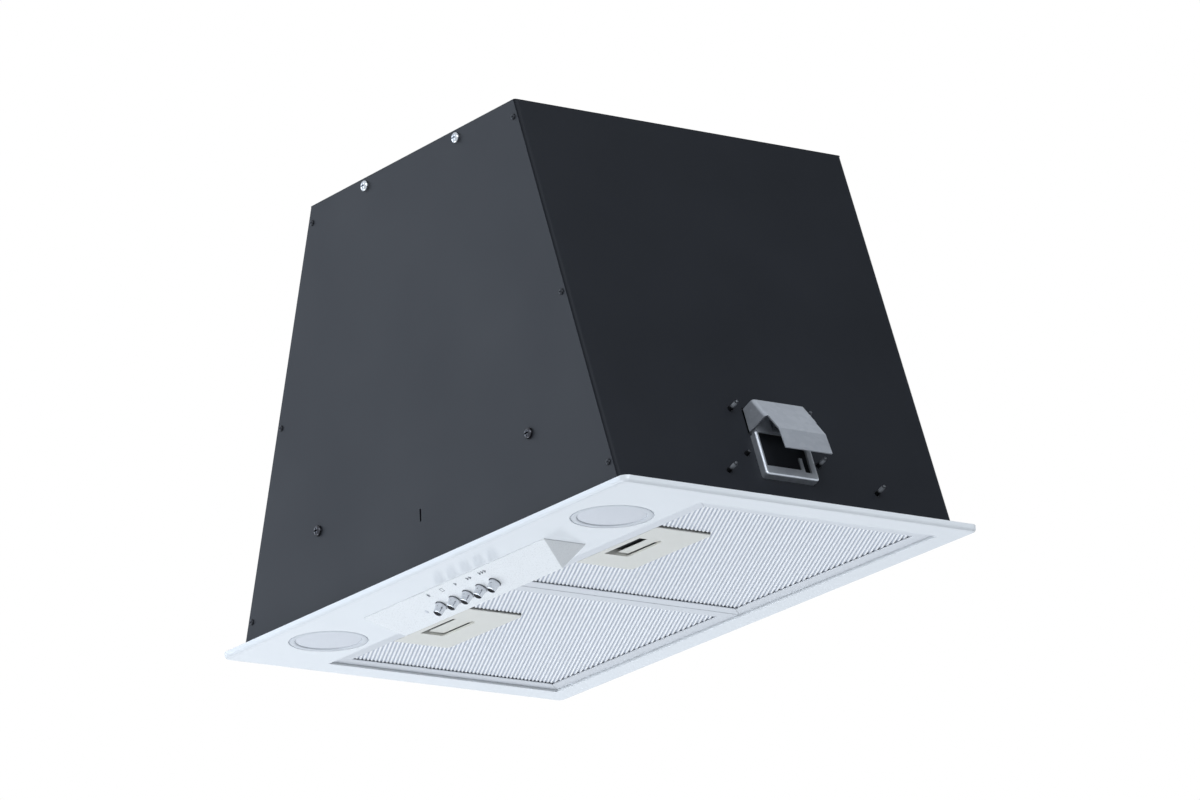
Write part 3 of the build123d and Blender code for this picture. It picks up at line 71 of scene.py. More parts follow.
# Lamps, with heights counted up from the plate's underside
LAMP_X = 184.0
LAMP_Y = -105.5
LAMP_CAN = [(25.6, 17.0), (26.0, 16.6), (26.0, 2.2)]
LAMP_FLANGE = [(32.5, 2.2), (32.5, 1.0)]
LAMP_BEZEL = [(28.2, 1.0), (28.2, 0.4), (28.1, 0.12), (27.8, 0.0), (25.0, 0.0), (24.6, 0.1), (24.3, 0.4)]
LAMP_GROOVE = [(24.06, 1.0), (24.04, 3.0), (22.5, 3.02)]
LENS_RADIUS = 24.0
LENS_EDGE = [(LENS_RADIUS, 3.0), (LENS_RADIUS, 1.1), (23.85, 0.88)]
LENS_RECESS = 0.8
LENS_CROWN = 0.6
LENS_RINGS = (23.4, 21, 18, 14, 9, 4, 1)
LAMP_SIDES = 96

# Control box and its push buttons, with heights counted out from the box's long face
CONTROL_FRONT = -118.0
CONTROL_RUN = 26.0
CONTROL_DROP = 14.6
CONTROL_SLOPE = atan2(CONTROL_DROP, CONTROL_RUN)
FOOT_GAP_Z = (-0.4, 0.1)
FOOT_GAP_SIDE = 0.8
FOOT_GAP_FRONT = 0.9
FOOT_GAP_BACK = 0.7
BUTTON_ROW_DOWN = 17.5
BUTTON_PLACES = {"light": -37.1, "stop": -19.8, "speed_1": -2.5, "speed_2": 14.8, "speed_3": 32.1}
BUTTON_STEM = [(2.6, -10.6), (2.6, -1.6), (3.9, -1.6), (3.9, 0.3)]
BUTTON_WALL = [(4.1, 0.5), (4.17, 0.8), (4.14, 1.4), (3.35, 6.8)]
BUTTON_SHOULDER = [(3.33, 7.05), (3.28, 7.2), (3.17, 7.31), (3.0, 7.4)]
BUTTON_TIP = 7.72
BUTTON_TIP_BOW = 0.033
BUTTON_TIP_RINGS = (2.2, 1.5, 0.8, 0.3)
BUTTON_SIDES = 48

# Printed signs
SIGN_ROW_DOWN = 5.4
INK_FILM = 0.05
BULB_Y = 0.35
BULB_RADIUS = 1.15
BULB_CAP_Y = -1.1
BULB_CAP_SIZE = (1.0, 0.8)
RAY_REACH = 1.75
RAY_SIZE = (0.6, 0.3)
SQUARE_HALF = 1.5
SQUARE_LINE = 0.4
FAN_PITCH = 3.3
FAN_HUB = 0.5
FAN_BLADE = 0.68
FAN_BLADE_REACH = 0.85
DOT_SIDES = 20

# Grease filters
FILTER_CENTRES = {"right": 119.5, "left": -119.5}
FILTER_WIDTH = 238.0
FILTER_FRONT = -70.0
FILTER_BACK = 128.0
FILTER_BOTTOM = -3.4
FILTER_TOP = 6.1
FILTER_BAR = 11.0
FILTER_SHEET = 0.8
MITRE_GAP = 0.1
TONGUE_SLOT_HALF = 12.2
TONGUE_SLOT_Z = (-0.9, 3.0)
TAB_OFFSETS = (-70.0, 70.0)
TAB_HALF = 11.0
TAB_OUT = 8.0
TAB_Z = (-0.7, 0.5)
MESH_PITCH = 2.95
MESH_TURN = -26.0
MESH_WAVE = 0.7
MESH_WAVE_STEPS = 10
MESH_WAVE_WELD = 0.01
# Shares of the wave's height over which the net's colour goes from white to grey: painted shade in the
# furrows
LIT_RIDGE_SHARE = 0.3
SHADED_FURROW_SHARE = 0.85
MESH_FOIL = 0.35
MESH_EDGE_GAP = 0.4
MESH_LOW = -2.4
MESH_HIGH = 4.0
MESH_REACH = 320.0

# Filter latches
LATCH_WIDTH = 100.0
LATCH_BACK = -12.0
LATCH_CLEARANCE_INSET = 2.1
LATCH_CLEARANCE_CORNER = 1.9
LATCH_SIDE_GAP = 1.8
RECESS_HALF = 22.0
RECESS_FRONT = -54.0
RECESS_FLOOR = 1.0
SLIDER_FRONT = -44.0
SLIDER_BLOCK_FRONT = -28.5
ARM_HALF = 12.0
ARM_PROUD = 0.15
FINGER_PLATE_Z = (-1.5, -0.9)
FINGER_PLATE_X = (-20.8, 21.6)
FINGER_PLATE_Y = {"right": (-43.2, -34.6), "left": (-47.4, -34.2)}
FINGER_NECK_X = 12.0
# A black sheet on the recess floor: painted shade for the dark inside of the filter seen there
SHADE_SHEET_BACK = -17.5
SHADE_SHEET_THICKNESS = 0.1
SHADE_SHEET_ARM_GAP = 0.4
SHADE_SHEET_WALL_GAP = 0.2
SHADE_SHEET_EASE = 0.03

# Screws, with a head's rounding and cross recess as shares of its size
EDGE_SCREW_HEIGHTS = (17.0, 151.0, 293.0)
EDGE_SCREW_INSET = 6.5
EDGE_SCREW = {"shank": 1.4, "head": 2.2, "rise": 1.2, "length": 6.0, "cross": 1.3}
TOP_SCREW_X = 60.5
TOP_SCREW_Z = 299.5
PAN_SCREW_X = 138.0
PAN_SCREW_Z = 62.0
PAN_SCREW = {"shank": 2.0, "head": 4.0, "rise": 2.6, "length": 9.0, "cross": 2.3}
HEAD_ROUNDING = ((1.0, 0.4), (0.94, 0.64), (0.8, 0.84), (0.58, 0.96), (0.3, 1.0))
HEAD_SIDES = 32
CROSS_SLIMNESS = 4
CROSS_FLOOR = 0.3

# Screws that come out through the sides: place along Y, distance up the side, and length. The tip is
# given as radii and how far each lies behind the end, and the painted shade at the foot as the distances
# out where it thins and where it ends.
SIDE_SCREWS = ((-28.0, 81.0, 10.0), (34.0, 81.0, 10.0), (-24.5, 44.0, 4.0), (35.0, 42.5, 10.0),
               (-44.0, 27.3, 10.0), (80.0, 25.6, 10.0))
SIDE_SCREW_HEAD = 3.6
SIDE_SCREW_HEAD_Z = (-4.2, -2.0)
SIDE_SCREW_SHANK = 1.35
SIDE_SCREW_CORE = 1.15
SIDE_SCREW_POINT = 1.2
SIDE_SCREW_TIP = ((1.0, 0.3), (0.75, 0.0))
SIDE_SCREW_SIDES = 20
SIDE_SCREW_SHADE = (2.5, 5.0)
THREAD_START = -1.6
THREAD_PITCH = 1.1
THREAD_DEPTH = 0.3
THREAD_STEPS = 16

# Working sizes: a cutter's reach past what it cuts, the reaches of a search and of a weld, and easings
PAST = 1.0
NEAR = 0.1
WELD = 0.002
THIN_EASE = 0.15
FRAME_EASE = 0.2

# Working angles in degrees: between faces that count as one, at an edge to ease, and for smooth shading
FLAT_ANGLE = 0.3
CORNER_ANGLE = 40
FOLD_ANGLE = 30
TURNED_ANGLE = 40
EASED_ANGLE = 50
WAVE_ANGLE = 60

# Stage, in metres and watts
STUDIO_TINT = "#F0F7FF"
KEY_TINT = "#DDEBFF"
WORLD_FILL = 0.34
FLOOR_SIZE = 16.0
FLOOR_HEIGHT = -2.4
FLOOR_GLOW = 0.75
FLOOR_FADE = (1.5, 6.5)
SOFTBOX_AIM = (0, 0, 0.1)
SOFTBOXES = {"key_softbox": ((-2.8, -1.9, 1.0), 2.2, 32.0, KEY_TINT),
             "front_softbox": ((1.3, -2.8, 1.7), 1.4, 14.0, STUDIO_TINT),
             "low_softbox": ((-1.35, -0.95, -2.05), 2.4, 68.0, STUDIO_TINT),
             "right_softbox": ((2.7, -0.6, 1.2), 1.6, 40.0, STUDIO_TINT)}
DARK_CARDS = {"low_dark_card": ((-1.23, -0.17, -1.04), (1.2, 1.3, 1.0)),
              "high_dark_card": ((0.78, 0.8, 0.9), (1.2, 1.2, 1.0))}
CAMERA_PLACE = (4.0996, -2.7971, -1.3242)
CAMERA_RIGHT = (0.5552, 0.8307, -0.0407)
CAMERA_BACK = (0.7909, -0.5425, -0.2831)
CAMERA_REACH = 50.0
CAMERA_LENS_MM = 216.86
CAMERA_SENSOR_MM = 36.0

# Sockets of a colour mix, which has several of each name: its share, its two colours and its result
MIX_SHARE = 0
MIX_FROM = 6
MIX_TO = 7
MIXED = 2


# Ways of working

def deselect():
    """Leave edit mode and let go of everything."""
    if bpy.context.object and bpy.context.object.mode != "OBJECT":
        bpy.ops.object.mode_set(mode="OBJECT")
    bpy.ops.object.select_all(action="DESELECT")


def named(name):
    """Name the piece that has just been added."""
    piece = bpy.context.object
    piece.name = name
    piece.data.name = name
    return piece


def take(*pieces):
    """Select some pieces, with the first one active."""
    deselect()
    for piece in pieces:
        piece.select_set(True)
    bpy.context.view_layer.objects.active = pieces[0]


def settle():
    """Put the selected piece's place, turn and scale into its mesh."""
    bpy.ops.object.transform_apply(location=True, rotation=True, scale=True)


def put(piece, place):
    """Put a piece in a place, which goes into its mesh."""
    take(piece)
    piece.matrix_world = place
    settle()


def edit(piece):
    """Open a piece in edit mode with all of it selected."""
    take(piece)
    bpy.ops.object.mode_set(mode="EDIT")
    bpy.ops.mesh.select_all(action="SELECT")


def pick(piece, kind, test):
    """Leave a piece in edit mode, with those of its vertices, edges or faces selected that pass a test."""
    bpy.ops.object.mode_set(mode="EDIT")
    bpy.ops.mesh.select_mode(type=kind)
    bpy.ops.mesh.select_all(action="DESELECT")
    bpy.ops.object.mode_set(mode="OBJECT")
    mesh = piece.data
    for part in {"VERT": mesh.vertices, "EDGE": mesh.edges, "FACE": mesh.polygons}[kind]:
        part.select = test(part)
    bpy.ops.object.mode_set(mode="EDIT")


def turn_outwards(piece):
    """Make a piece's faces point outwards."""
    edit(piece)
    bpy.ops.mesh.normals_make_consistent(inside=False)
    bpy.ops.object.mode_set(mode="OBJECT")


def modify(piece, kind, **settings):
    """Give a piece one modifier and apply it."""
    take(piece)
    modifier = piece.modifiers.new(kind.lower(), kind)
    for setting, value in settings.items():
        setattr(modifier, setting, value)
    bpy.ops.object.modifier_apply(modifier=modifier.name)


def block(name, low, high):
    """A block between two corners in millimetres, with its place in its mesh."""
    deselect()
    middle = (Vector(low) + Vector(high)) / 2
    bpy.ops.mesh.primitive_cube_add(size=1, location=middle * MM)
    piece = named(name)
    piece.scale = (Vector(high) - Vector(low)) * MM
    settle()
    return piece


def raise_rings(name, rings, sides):
    """A round piece raised from a disc: each ring, (radius, height), is extruded and scaled in turn."""
    deselect()
    radius, height = rings[0]
    bpy.ops.mesh.primitive_circle_add(vertices=sides, radius=radius * MM, fill_type="NGON")
    piece = named(name)
    piece.location.z = height * MM
    settle()
    edit(piece)
    for next_radius, next_height in rings[1:]:
        rise = (next_height - height) * MM
        bpy.ops.mesh.extrude_region_move(TRANSFORM_OT_translate={"value": (0, 0, rise)})
        share = next_radius / radius
        bpy.ops.transform.resize(value=(share, share, 1), center_override=(0, 0, next_height * MM))
        radius = next_radius
        height = next_height
    turn_outwards(piece)
    return piece


def copy_to(piece, name, place):
    """A copy of a piece with its own mesh, put in place."""
    take(piece)
    bpy.ops.object.duplicate(linked=False)
    twin = named(name)
    put(twin, place)
    return twin


def join(name, pieces):
    """One piece out of several."""
    take(*pieces)
    if len(pieces) > 1:
        bpy.ops.object.join()
    return named(name)


def cut(piece, cutter):
    """Take a cutter's shape out of a piece, and drop the cutter."""
    modify(piece, "BOOLEAN", operation="DIFFERENCE", solver="EXACT", object=cutter)
    bpy.data.objects.remove(cutter)


def smooth(piece, angle):
    """Shade a piece smooth across edges of up to an angle, in degrees."""
    take(piece)
    bpy.ops.object.shade_smooth_by_angle(angle=radians(angle))
    return piece


def smooth_bends(piece, angle):
    """Shade a piece smooth up to an angle, with its flat faces left flat."""
    smooth(piece, angle)
    modify(piece, "WEIGHTED_NORMAL", mode="FACE_AREA", weight=90, keep_sharp=True)


def ease_edges(piece, width):
    """Round a piece's sharp edges by a small width, with its flat faces left flat."""
    modify(piece, "BEVEL", width=width * MM, segments=2, limit_method="ANGLE",
           angle_limit=radians(CORNER_ANGLE), use_clamp_overlap=True)
    smooth_bends(piece, EASED_ANGLE)


def standing(origin, out, along):
    """A place whose Z axis points out of a surface and whose X axis lies along it."""
    z_axis = Vector(out).normalized()
    x_axis = (Vector(along) - z_axis * Vector(along).dot(z_axis)).normalized()
    y_axis = z_axis.cross(x_axis)
    place = Matrix((x_axis, y_axis, z_axis)).transposed().to_4x4()
    place.translation = Vector(origin) * MM
    return place


def dress(piece, material):
    """Give a piece one material."""
    piece.data.materials.clear()
    piece.data.materials.append(material)


def linear(colour):
    """An sRGB hex colour as linear RGBA."""
    parts = [int(colour[i:i + 2], 16) / 255 for i in (1, 3, 5)]
    return [p / 12.92 if p <= 0.04045 else ((p + 0.055) / 1.055) ** 2.4 for p in parts] + [1.0]


def fill(tree, node, inputs):
    """Set a node's inputs, each to a value or linked to another node's output."""
    for socket, value in inputs.items():
        if isinstance(value, bpy.types.NodeSocket):
            tree.links.new(value, node.inputs[socket])
        else:
            node.inputs[socket].default_value = value
    return node


def add(tree, kind, inputs=None, **settings):
    """Add a node with its settings and inputs."""
    node = tree.nodes.new(kind)
    for setting, value in settings.items():
        setattr(node, setting, value)
    return fill(tree, node, inputs or {})


def finish_named(name):
    """A new material with a principled shader, and its parts: material, tree, shader, coordinates."""
    material = bpy.data.materials.new(name)
    material.use_nodes = True
    tree = material.node_tree
    shader = tree.nodes["Principled BSDF"]
    place = tree.nodes.new("ShaderNodeTexCoord").outputs["Object"]
    return material, tree, shader, place


def surface(tree, shader, colour, gloss, relief=None, settings=None):
    """Fill a shader: two colours mixed by a pattern, a roughness that follows one, a relief and the rest."""
    pattern, low, high = colour
    mix = add(tree, "ShaderNodeMix", {MIX_SHARE: pattern, MIX_FROM: linear(low), MIX_TO: linear(high)},
              data_type="RGBA")
    pattern, low, high = gloss
    rough = add(tree, "ShaderNodeMapRange", {"Value": pattern, "To Min": low, "To Max": high})
    fill(tree, shader, {"Base Color": mix.outputs[MIXED], "Roughness": rough.outputs["Result"]})
    if relief:
        pattern, strength, depth = relief
        bump = add(tree, "ShaderNodeBump", {"Strength": strength, "Distance": depth * MM, "Height": pattern})
        fill(tree, shader, {"Normal": bump.outputs["Normal"]})
    fill(tree, shader, settings or {})


def per(millimetres):
    """The scale of a pattern that repeats about every so many millimetres, on coordinates in metres."""
    return 1000.0 / millimetres


# Materials

def powder_coat_black():
    # Black polyester powder coat on steel: satin, with a fine orange peel and faint uneven sheen.
    # The peel is drawn at 1.4 mm, coarser than the real one, so that it shows.
    material, tree, shader, place = finish_named("powder_coated_steel_black")
    cloud = add(tree, "ShaderNodeTexNoise", {"Vector": place, "Scale": per(90), "Detail": 3.0})
    peel = add(tree, "ShaderNodeTexNoise", {"Vector": place, "Scale": per(1.4), "Detail": 2.0})
    surface(tree, shader, (cloud.outputs["Fac"], "#212327", "#27292E"), (cloud.outputs["Fac"], 0.42, 0.54),
            (peel.outputs["Fac"], 0.2, 0.05), {"Specular IOR Level": 0.14})
    return material


def enamel_white():
    # White stoved enamel on steel: glossy and slightly wavy, with soft mirror images of what stands on it.
    material, tree, shader, place = finish_named("enamelled_steel_white")
    wave = add(tree, "ShaderNodeTexNoise", {"Vector": place, "Scale": per(30), "Detail": 2.0})
    peel = add(tree, "ShaderNodeTexNoise", {"Vector": place, "Scale": per(2.0), "Detail": 1.0})
    surface(tree, shader, (wave.outputs["Fac"], "#EEF1F3", "#F3F5F7"), (peel.outputs["Fac"], 0.08, 0.13),
            (wave.outputs["Fac"], 0.08, 0.1))
    return material


def moulded(name, low, high, rough_low, rough_high, grain_mm):
    # Moulded plastic: a trace of flow in the colour and the mould's fine grain in the gloss.
    material, tree, shader, place = finish_named(name)
    flow = add(tree, "ShaderNodeTexNoise", {"Vector": place, "Scale": per(20), "Detail": 2.0})
    grain = add(tree, "ShaderNodeTexNoise", {"Vector": place, "Scale": per(grain_mm), "Detail": 2.0})
    surface(tree, shader, (flow.outputs["Fac"], low, high), (grain.outputs["Fac"], rough_low, rough_high),
            (grain.outputs["Fac"], 0.06, 0.02))
    return material


def plated(name, low, high, rough_low, rough_high, grain_mm):
    # Bare or plated metal: a fine grain that breaks up its reflections.
    material, tree, shader, place = finish_named(name)
    grain = add(tree, "ShaderNodeTexNoise", {"Vector": place, "Scale": per(grain_mm), "Detail": 3.0})
    surface(tree, shader, (grain.outputs["Fac"], low, high), (grain.outputs["Fac"], rough_low, rough_high),
            settings={"Metallic": 1.0})
    return material


def screw_with_shaded_foot():
    # Phosphated steel with painted shade: black at the foot, where the screw leaves the panel, plain grey at
    # the point. The distance out from either slanted side tells the two apart.
    material, tree, shader, place = finish_named("phosphated_steel_shaded_foot")
    grain = add(tree, "ShaderNodeTexNoise", {"Vector": place, "Scale": per(0.8), "Detail": 3.0})
    both_sides = add(tree, "ShaderNodeVectorMath", {0: place}, operation="ABSOLUTE")
    out_of_side = (cos(SIDE_TILT), 0, sin(SIDE_TILT))
    reach = add(tree, "ShaderNodeVectorMath", {0: both_sides.outputs["Vector"], 1: out_of_side},
                operation="DOT_PRODUCT")
    foot = CASE_BASE_HALF * cos(SIDE_TILT) + CASE_FOOT * sin(SIDE_TILT)
    painted, unpainted = ((foot + out) * MM for out in SIDE_SCREW_SHADE)
    # Painted shade: black up to the first distance out, fading to grey by the second
    unshaded = add(tree, "ShaderNodeMapRange", {"Value": reach.outputs["Value"], "From Min": painted,
                                            "From Max": unpainted})
    surface(tree, shader, (unshaded.outputs["Result"], "#131416", "#7C7E82"), (grain.outputs["Fac"], 0.3, 0.42),
            settings={"Metallic": 1.0})
    return material


def galvanised(name, low, high, metallic, rough_low, rough_high):
    # Hot-dip galvanised sheet: grey zinc with faint crystals about 4 mm across and fine scuffs.
    material, tree, shader, place = finish_named(name)
    crystal = add(tree, "ShaderNodeTexVoronoi", {"Vector": place, "Scale": per(4)})
    scuff = add(tree, "ShaderNodeTexNoise", {"Vector": place, "Scale": per(1.2), "Detail": 4.0})
    tint = add(tree, "ShaderNodeSeparateColor", {"Color": crystal.outputs["Color"]})
    surface(tree, shader, (tint.outputs["Red"], low, high), (scuff.outputs["Fac"], rough_low, rough_high),
            (scuff.outputs["Fac"], 0.1, 0.03), {"Metallic": metallic})
    return material


def rolled_aluminium():
    # Mill-finish aluminium strip: pale, with rolling lines along the sheet.
    material, tree, shader, place = finish_named("mill_finish_aluminium")
    stretch = add(tree, "ShaderNodeMapping", {"Vector": place, "Scale": (0.04, 1.0, 1.0)})
    lines = add(tree, "ShaderNodeTexNoise", {"Vector": stretch.outputs["Vector"], "Scale": per(0.8),
                                             "Detail": 3.0})
    surface(tree, shader, (lines.outputs["Fac"], "#D8DADE", "#E2E4E7"), (lines.outputs["Fac"], 0.3, 0.42),
            (lines.outputs["Fac"], 0.08, 0.02), {"Metallic": 0.8})
    return material


def crimped_aluminium():
    # Expanded aluminium foil, crimped, with painted shade: white at the ridges of a fine net, greyer in the
    # deeper furrows.
    # The net's eyes are drawn 1.5 mm apart, coarser than the real ones, so that they show.
    material, tree, shader, place = finish_named("expanded_aluminium_net")
    turn = add(tree, "ShaderNodeMapping", {"Vector": place, "Rotation": (0, 0, radians(-MESH_TURN)),
                                           "Scale": (1.0, 1.6, 1.0)})
    eyes = add(tree, "ShaderNodeTexVoronoi", {"Vector": turn.outputs["Vector"], "Scale": per(1.5),
                                              "Randomness": 0.3})
    height = add(tree, "ShaderNodeSeparateXYZ", {"Vector": place})
    # Painted shade: the net is darker the higher it lies, white at the lowest crests, grey in the furrows and
    # over the whole upper sheet
    ridge, shaded_furrow = ((MESH_LOW + share * MESH_WAVE) * MM for share in (LIT_RIDGE_SHARE, SHADED_FURROW_SHARE))
    depth = add(tree, "ShaderNodeMapRange", {"Value": height.outputs["Z"], "From Min": ridge,
                                             "From Max": shaded_furrow})
    colour = add(tree, "ShaderNodeMix", {MIX_SHARE: depth.outputs["Result"], MIX_FROM: linear("#FFFFFF"),
                                         MIX_TO: linear("#B7BCC7")}, data_type="RGBA")
    eye = add(tree, "ShaderNodeMapRange", {"Value": eyes.outputs["Distance"], "From Max": 0.3,
                                           "To Min": 0.93})
    netted = add(tree, "ShaderNodeMix", {MIX_SHARE: 1.0, MIX_FROM: colour.outputs[MIXED],
                                         MIX_TO: eye.outputs["Result"]},
                 data_type="RGBA", blend_type="MULTIPLY")
    gloss = add(tree, "ShaderNodeMapRange", {"Value": eyes.outputs["Distance"], "To Min": 0.5,
                                             "To Max": 0.35})
    fill(tree, shader, {"Base Color": netted.outputs[MIXED], "Roughness": gloss.outputs["Result"],
                        "Metallic": 0.15})
    return material


def frosted_acrylic():
    # Opal acrylic with a satin face that scatters the light behind it.
    material, tree, shader, place = finish_named("frosted_acrylic")
    stipple = add(tree, "ShaderNodeTexNoise", {"Vector": place, "Scale": per(1.0), "Detail": 2.0})
    glow_through = {"Subsurface Weight": 0.2, "Subsurface Radius": (3 * MM, 3 * MM, 3 * MM), "IOR": 1.49}
    surface(tree, shader, (stipple.outputs["Fac"], "#E0E2E7", "#E7E9ED"), (stipple.outputs["Fac"], 0.4, 0.52),
            (stipple.outputs["Fac"], 0.2, 0.04), glow_through)
    return material


COAT = powder_coat_black()
ENAMEL = enamel_white()
WHITE_ABS = moulded("moulded_abs_white", "#F8F9F9", "#FBFCFC", 0.24, 0.32, 0.9)
PALE_GREY_ABS = moulded("moulded_abs_pale_grey", "#D3D7DC", "#DADDE1", 0.28, 0.36, 0.9)
BEIGE_ABS = moulded("moulded_abs_beige_grey", "#E3E1D9", "#E9E7DF", 0.38, 0.5, 0.7)
BLACK_PP = moulded("moulded_polypropylene_black", "#1C1D1F", "#242527", 0.45, 0.6, 0.8)
GREY_PP = moulded("moulded_polypropylene_grey", "#5C5E62", "#686A6E", 0.45, 0.6, 0.8)
RUBBER = moulded("nitrile_rubber_black", "#1B1B1C", "#262627", 0.7, 0.85, 1.5)
INK = moulded("pad_printing_ink_grey", "#6B6E75", "#787B82", 0.45, 0.55, 0.5)
CHROME = plated("chrome_plate", "#C8CACE", "#D4D6DA", 0.06, 0.13, 3.0)
ZINC = plated("bright_zinc_plated_steel", "#BFC1C4", "#D4D6D8", 0.18, 0.3, 1.0)
DARK_NICKEL = plated("dark_nickel_plated_steel", "#3A3A3D", "#4A4A4E", 0.22, 0.34, 1.0)
BLACK_SCREW = plated("black_oxide_steel", "#2E2F32", "#3B3C3F", 0.3, 0.42, 0.8)
PHOSPHATED = screw_with_shaded_foot()
SPRING_STEEL = plated("bright_spring_steel", "#8B8D91", "#A0A2A6", 0.22, 0.34, 0.8)
TURNED_STEEL = plated("turned_steel", "#9A9CA0", "#B0B2B5", 0.25, 0.4, 0.6)
CAN_ALUMINIUM = plated("drawn_aluminium", "#C4C7CB", "#D2D5D8", 0.25, 0.36, 1.2)
GALVANISED = galvanised("galvanised_steel_weathered", "#A7AAB0", "#AFB2B7", 0.3, 0.38, 0.5)
BRIGHT_GALVANISED = galvanised("galvanised_steel", "#C8CBD0", "#D0D3D8", 0.75, 0.3, 0.4)
FRAME_ALUMINIUM = rolled_aluminium()
NET_ALUMINIUM = crimped_aluminium()
ACRYLIC = frosted_acrylic()

BODY_OF = {node: body for body, nodes in frame["record"]["behaviour"]["bodies"].items() for node in nodes}


def stand_for(piece, node, material):
    """Let a piece take a node's place: its body and a finish."""
    dress(piece, material)
    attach(piece, BODY_OF[node])
    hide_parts(node)


# Pieces that keep the model's shape, with whole faces, smooth bends and eased edges

def merged(node):
    """A copy of a node's own shape, its triangles merged to whole faces."""
    piece = bpy.data.objects.new(f"{node}_finished", frame["nodes"][node].data.copy())
    bpy.context.scene.collection.objects.link(piece)
    edit(piece)
    bpy.ops.mesh.remove_doubles(threshold=WELD * MM)
    bpy.ops.mesh.dissolve_limited(angle_limit=radians(FLAT_ANGLE))
    bpy.ops.object.mode_set(mode="OBJECT")
    return piece


def eased(node, width, material):
    """A node's own shape with smooth bends and, where a width is given, eased edges."""
    piece = merged(node)
    if width > 0:
        ease_edges(piece, width)
    else:
        smooth_bends(piece, FOLD_ANGLE)
    stand_for(piece, node, material)


def latch_slider(side, centre):
    """A latch's slider: a thin finger plate in the recess, carried by an arm behind it, black as painted
    shade.
    """
    node = f"{side}_latch_slider"
    arm = merged(node)
    cut(arm, block("plate_room", (centre - RECESS_HALF, SLIDER_FRONT - PAST, PLATE_UNDER),
                   (centre + RECESS_HALF, SLIDER_BLOCK_FRONT, RECESS_FLOOR - ARM_PROUD)))
    ease_edges(arm, THIN_EASE)
    # The arm's black is painted shade, for the dark seen through the gaps round the finger plate
    stand_for(arm, node, BLACK_PP)
    left, right = (centre + x for x in FINGER_PLATE_X)
    front, back = FINGER_PLATE_Y[side]
    low, high = FINGER_PLATE_Z
    plate = block(f"{side}_finger_plate", (left, front, low), (right, SLIDER_BLOCK_FRONT, high))
    cut(plate, block("slit", (left - PAST, back, low - PAST),
                     (centre + FINGER_NECK_X, SLIDER_BLOCK_FRONT + PAST, high + PAST)))
    ease_edges(plate, THIN_EASE)
    dress(plate, BEIGE_ABS)
    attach(plate, BODY_OF[node])


def recess_shade_sheet(side, centre):
    """A black sheet of painted shade on the floor of a latch's recess, on both sides of the arm."""
    strips = []
    for sign in (1, -1):
        beside_arm = centre + sign * (ARM_HALF + SHADE_SHEET_ARM_GAP)
        beside_wall = centre + sign * (RECESS_HALF - SHADE_SHEET_WALL_GAP)
        left, right = sorted((beside_arm, beside_wall))
        strips.append(block(f"{side}_lining_{sign}",
                            (left, RECESS_FRONT + SHADE_SHEET_WALL_GAP, RECESS_FLOOR - SHADE_SHEET_THICKNESS),
                            (right, SHADE_SHEET_BACK, RECESS_FLOOR)))
    shade_sheet = join(f"{side}_recess_shade_sheet", strips)
    ease_edges(shade_sheet, SHADE_SHEET_EASE)
    dress(shade_sheet, BLACK_PP)
    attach(shade_sheet, BODY_OF[f"{side}_latch_housing"])


def sprung(node):
    """A leaf spring in its own shape. On the hood it is held at one end and presses on a part at the other;
    here it stays where it is and does not bend.
    """
    piece = merged(node)
    smooth(piece, FOLD_ANGLE)
    dress(piece, SPRING_STEEL)
    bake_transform(piece)
    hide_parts(node)


def springs(side):
    """A catch's spring, held at its top on the hood, and a latch's spring, held at its back; both stay as
    they are.
    """
    sprung(f"{side}_catch_spring")
    sprung(f"{side}_latch_spring")


def control_shell():
    """The control box with a thin shadow gap round its foot, where it meets the plate."""
    piece = merged("control_box")
    low, high = (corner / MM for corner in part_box("control_box"))
    bottom, top = (PLATE_UNDER + height for height in FOOT_GAP_Z)
    gap = block("foot_gap", (low.x - PAST, low.y - PAST, bottom), (high.x + PAST, high.y + PAST, top))
    cut(gap, block("foot_core", (low.x + FOOT_GAP_SIDE, low.y + FOOT_GAP_FRONT, bottom - PAST),
                   (high.x - FOOT_GAP_SIDE, high.y - FOOT_GAP_BACK, top + PAST)))
    cut(piece, gap)
    smooth_bends(piece, FOLD_ANGLE)
    stand_for(piece, "control_box", WHITE_ABS)


# Each node's easing width in millimetres, or none, and its finish
EASED_NODES = {
    "face_plate": (0.2, ENAMEL), "front_panel": (0.15, COAT), "back_panel": (0.15, COAT),
    "top_panel": (0.15, COAT), "right_side_panel": (0.15, COAT), "left_side_panel": (0.15, COAT),
    "pilot_lens": (0.1, ACRYLIC), "catch_pins": (0.15, GALVANISED),
    "right_catch_bracket": (0.6, BRIGHT_GALVANISED), "left_catch_bracket": (0.6, BRIGHT_GALVANISED),
    "right_catch_leaf": (0.2, GALVANISED), "left_catch_leaf": (0.2, GALVANISED),
    "right_side_stiffener": (0.15, GALVANISED), "left_side_stiffener": (0.15, GALVANISED),
    "right_latch_housing": (0.25, BEIGE_ABS), "left_latch_housing": (0.25, BEIGE_ABS),
    "electrics_bracket": (0.15, GALVANISED), "motor_bracket": (0.2, GALVANISED),
    "led_boards": (0.1, WHITE_ABS), "switch_block": (0.3, BLACK_PP), "terminal_box": (0.3, BLACK_PP),
    "terminal_lid": (0.3, BLACK_PP), "lamp_driver": (0.4, BLACK_PP), "motor_capacitor": (0.3, CAN_ALUMINIUM),
    "right_scroll_half": (0.0, BLACK_PP), "left_scroll_half": (0.0, BLACK_PP),
    "outlet_collar": (0.3, BLACK_PP), "front_flap": (0.2, BLACK_PP), "rear_flap": (0.2, BLACK_PP),
    "flap_pin": (0.2, ZINC), "cable_gland": (0.3, BLACK_PP), "fan_wheel": (0.0, GREY_PP),
    "fan_shaft": (0.2, TURNED_STEEL), "motor_body": (0.4, TURNED_STEEL), "motor_grommets": (0.0, RUBBER),
}
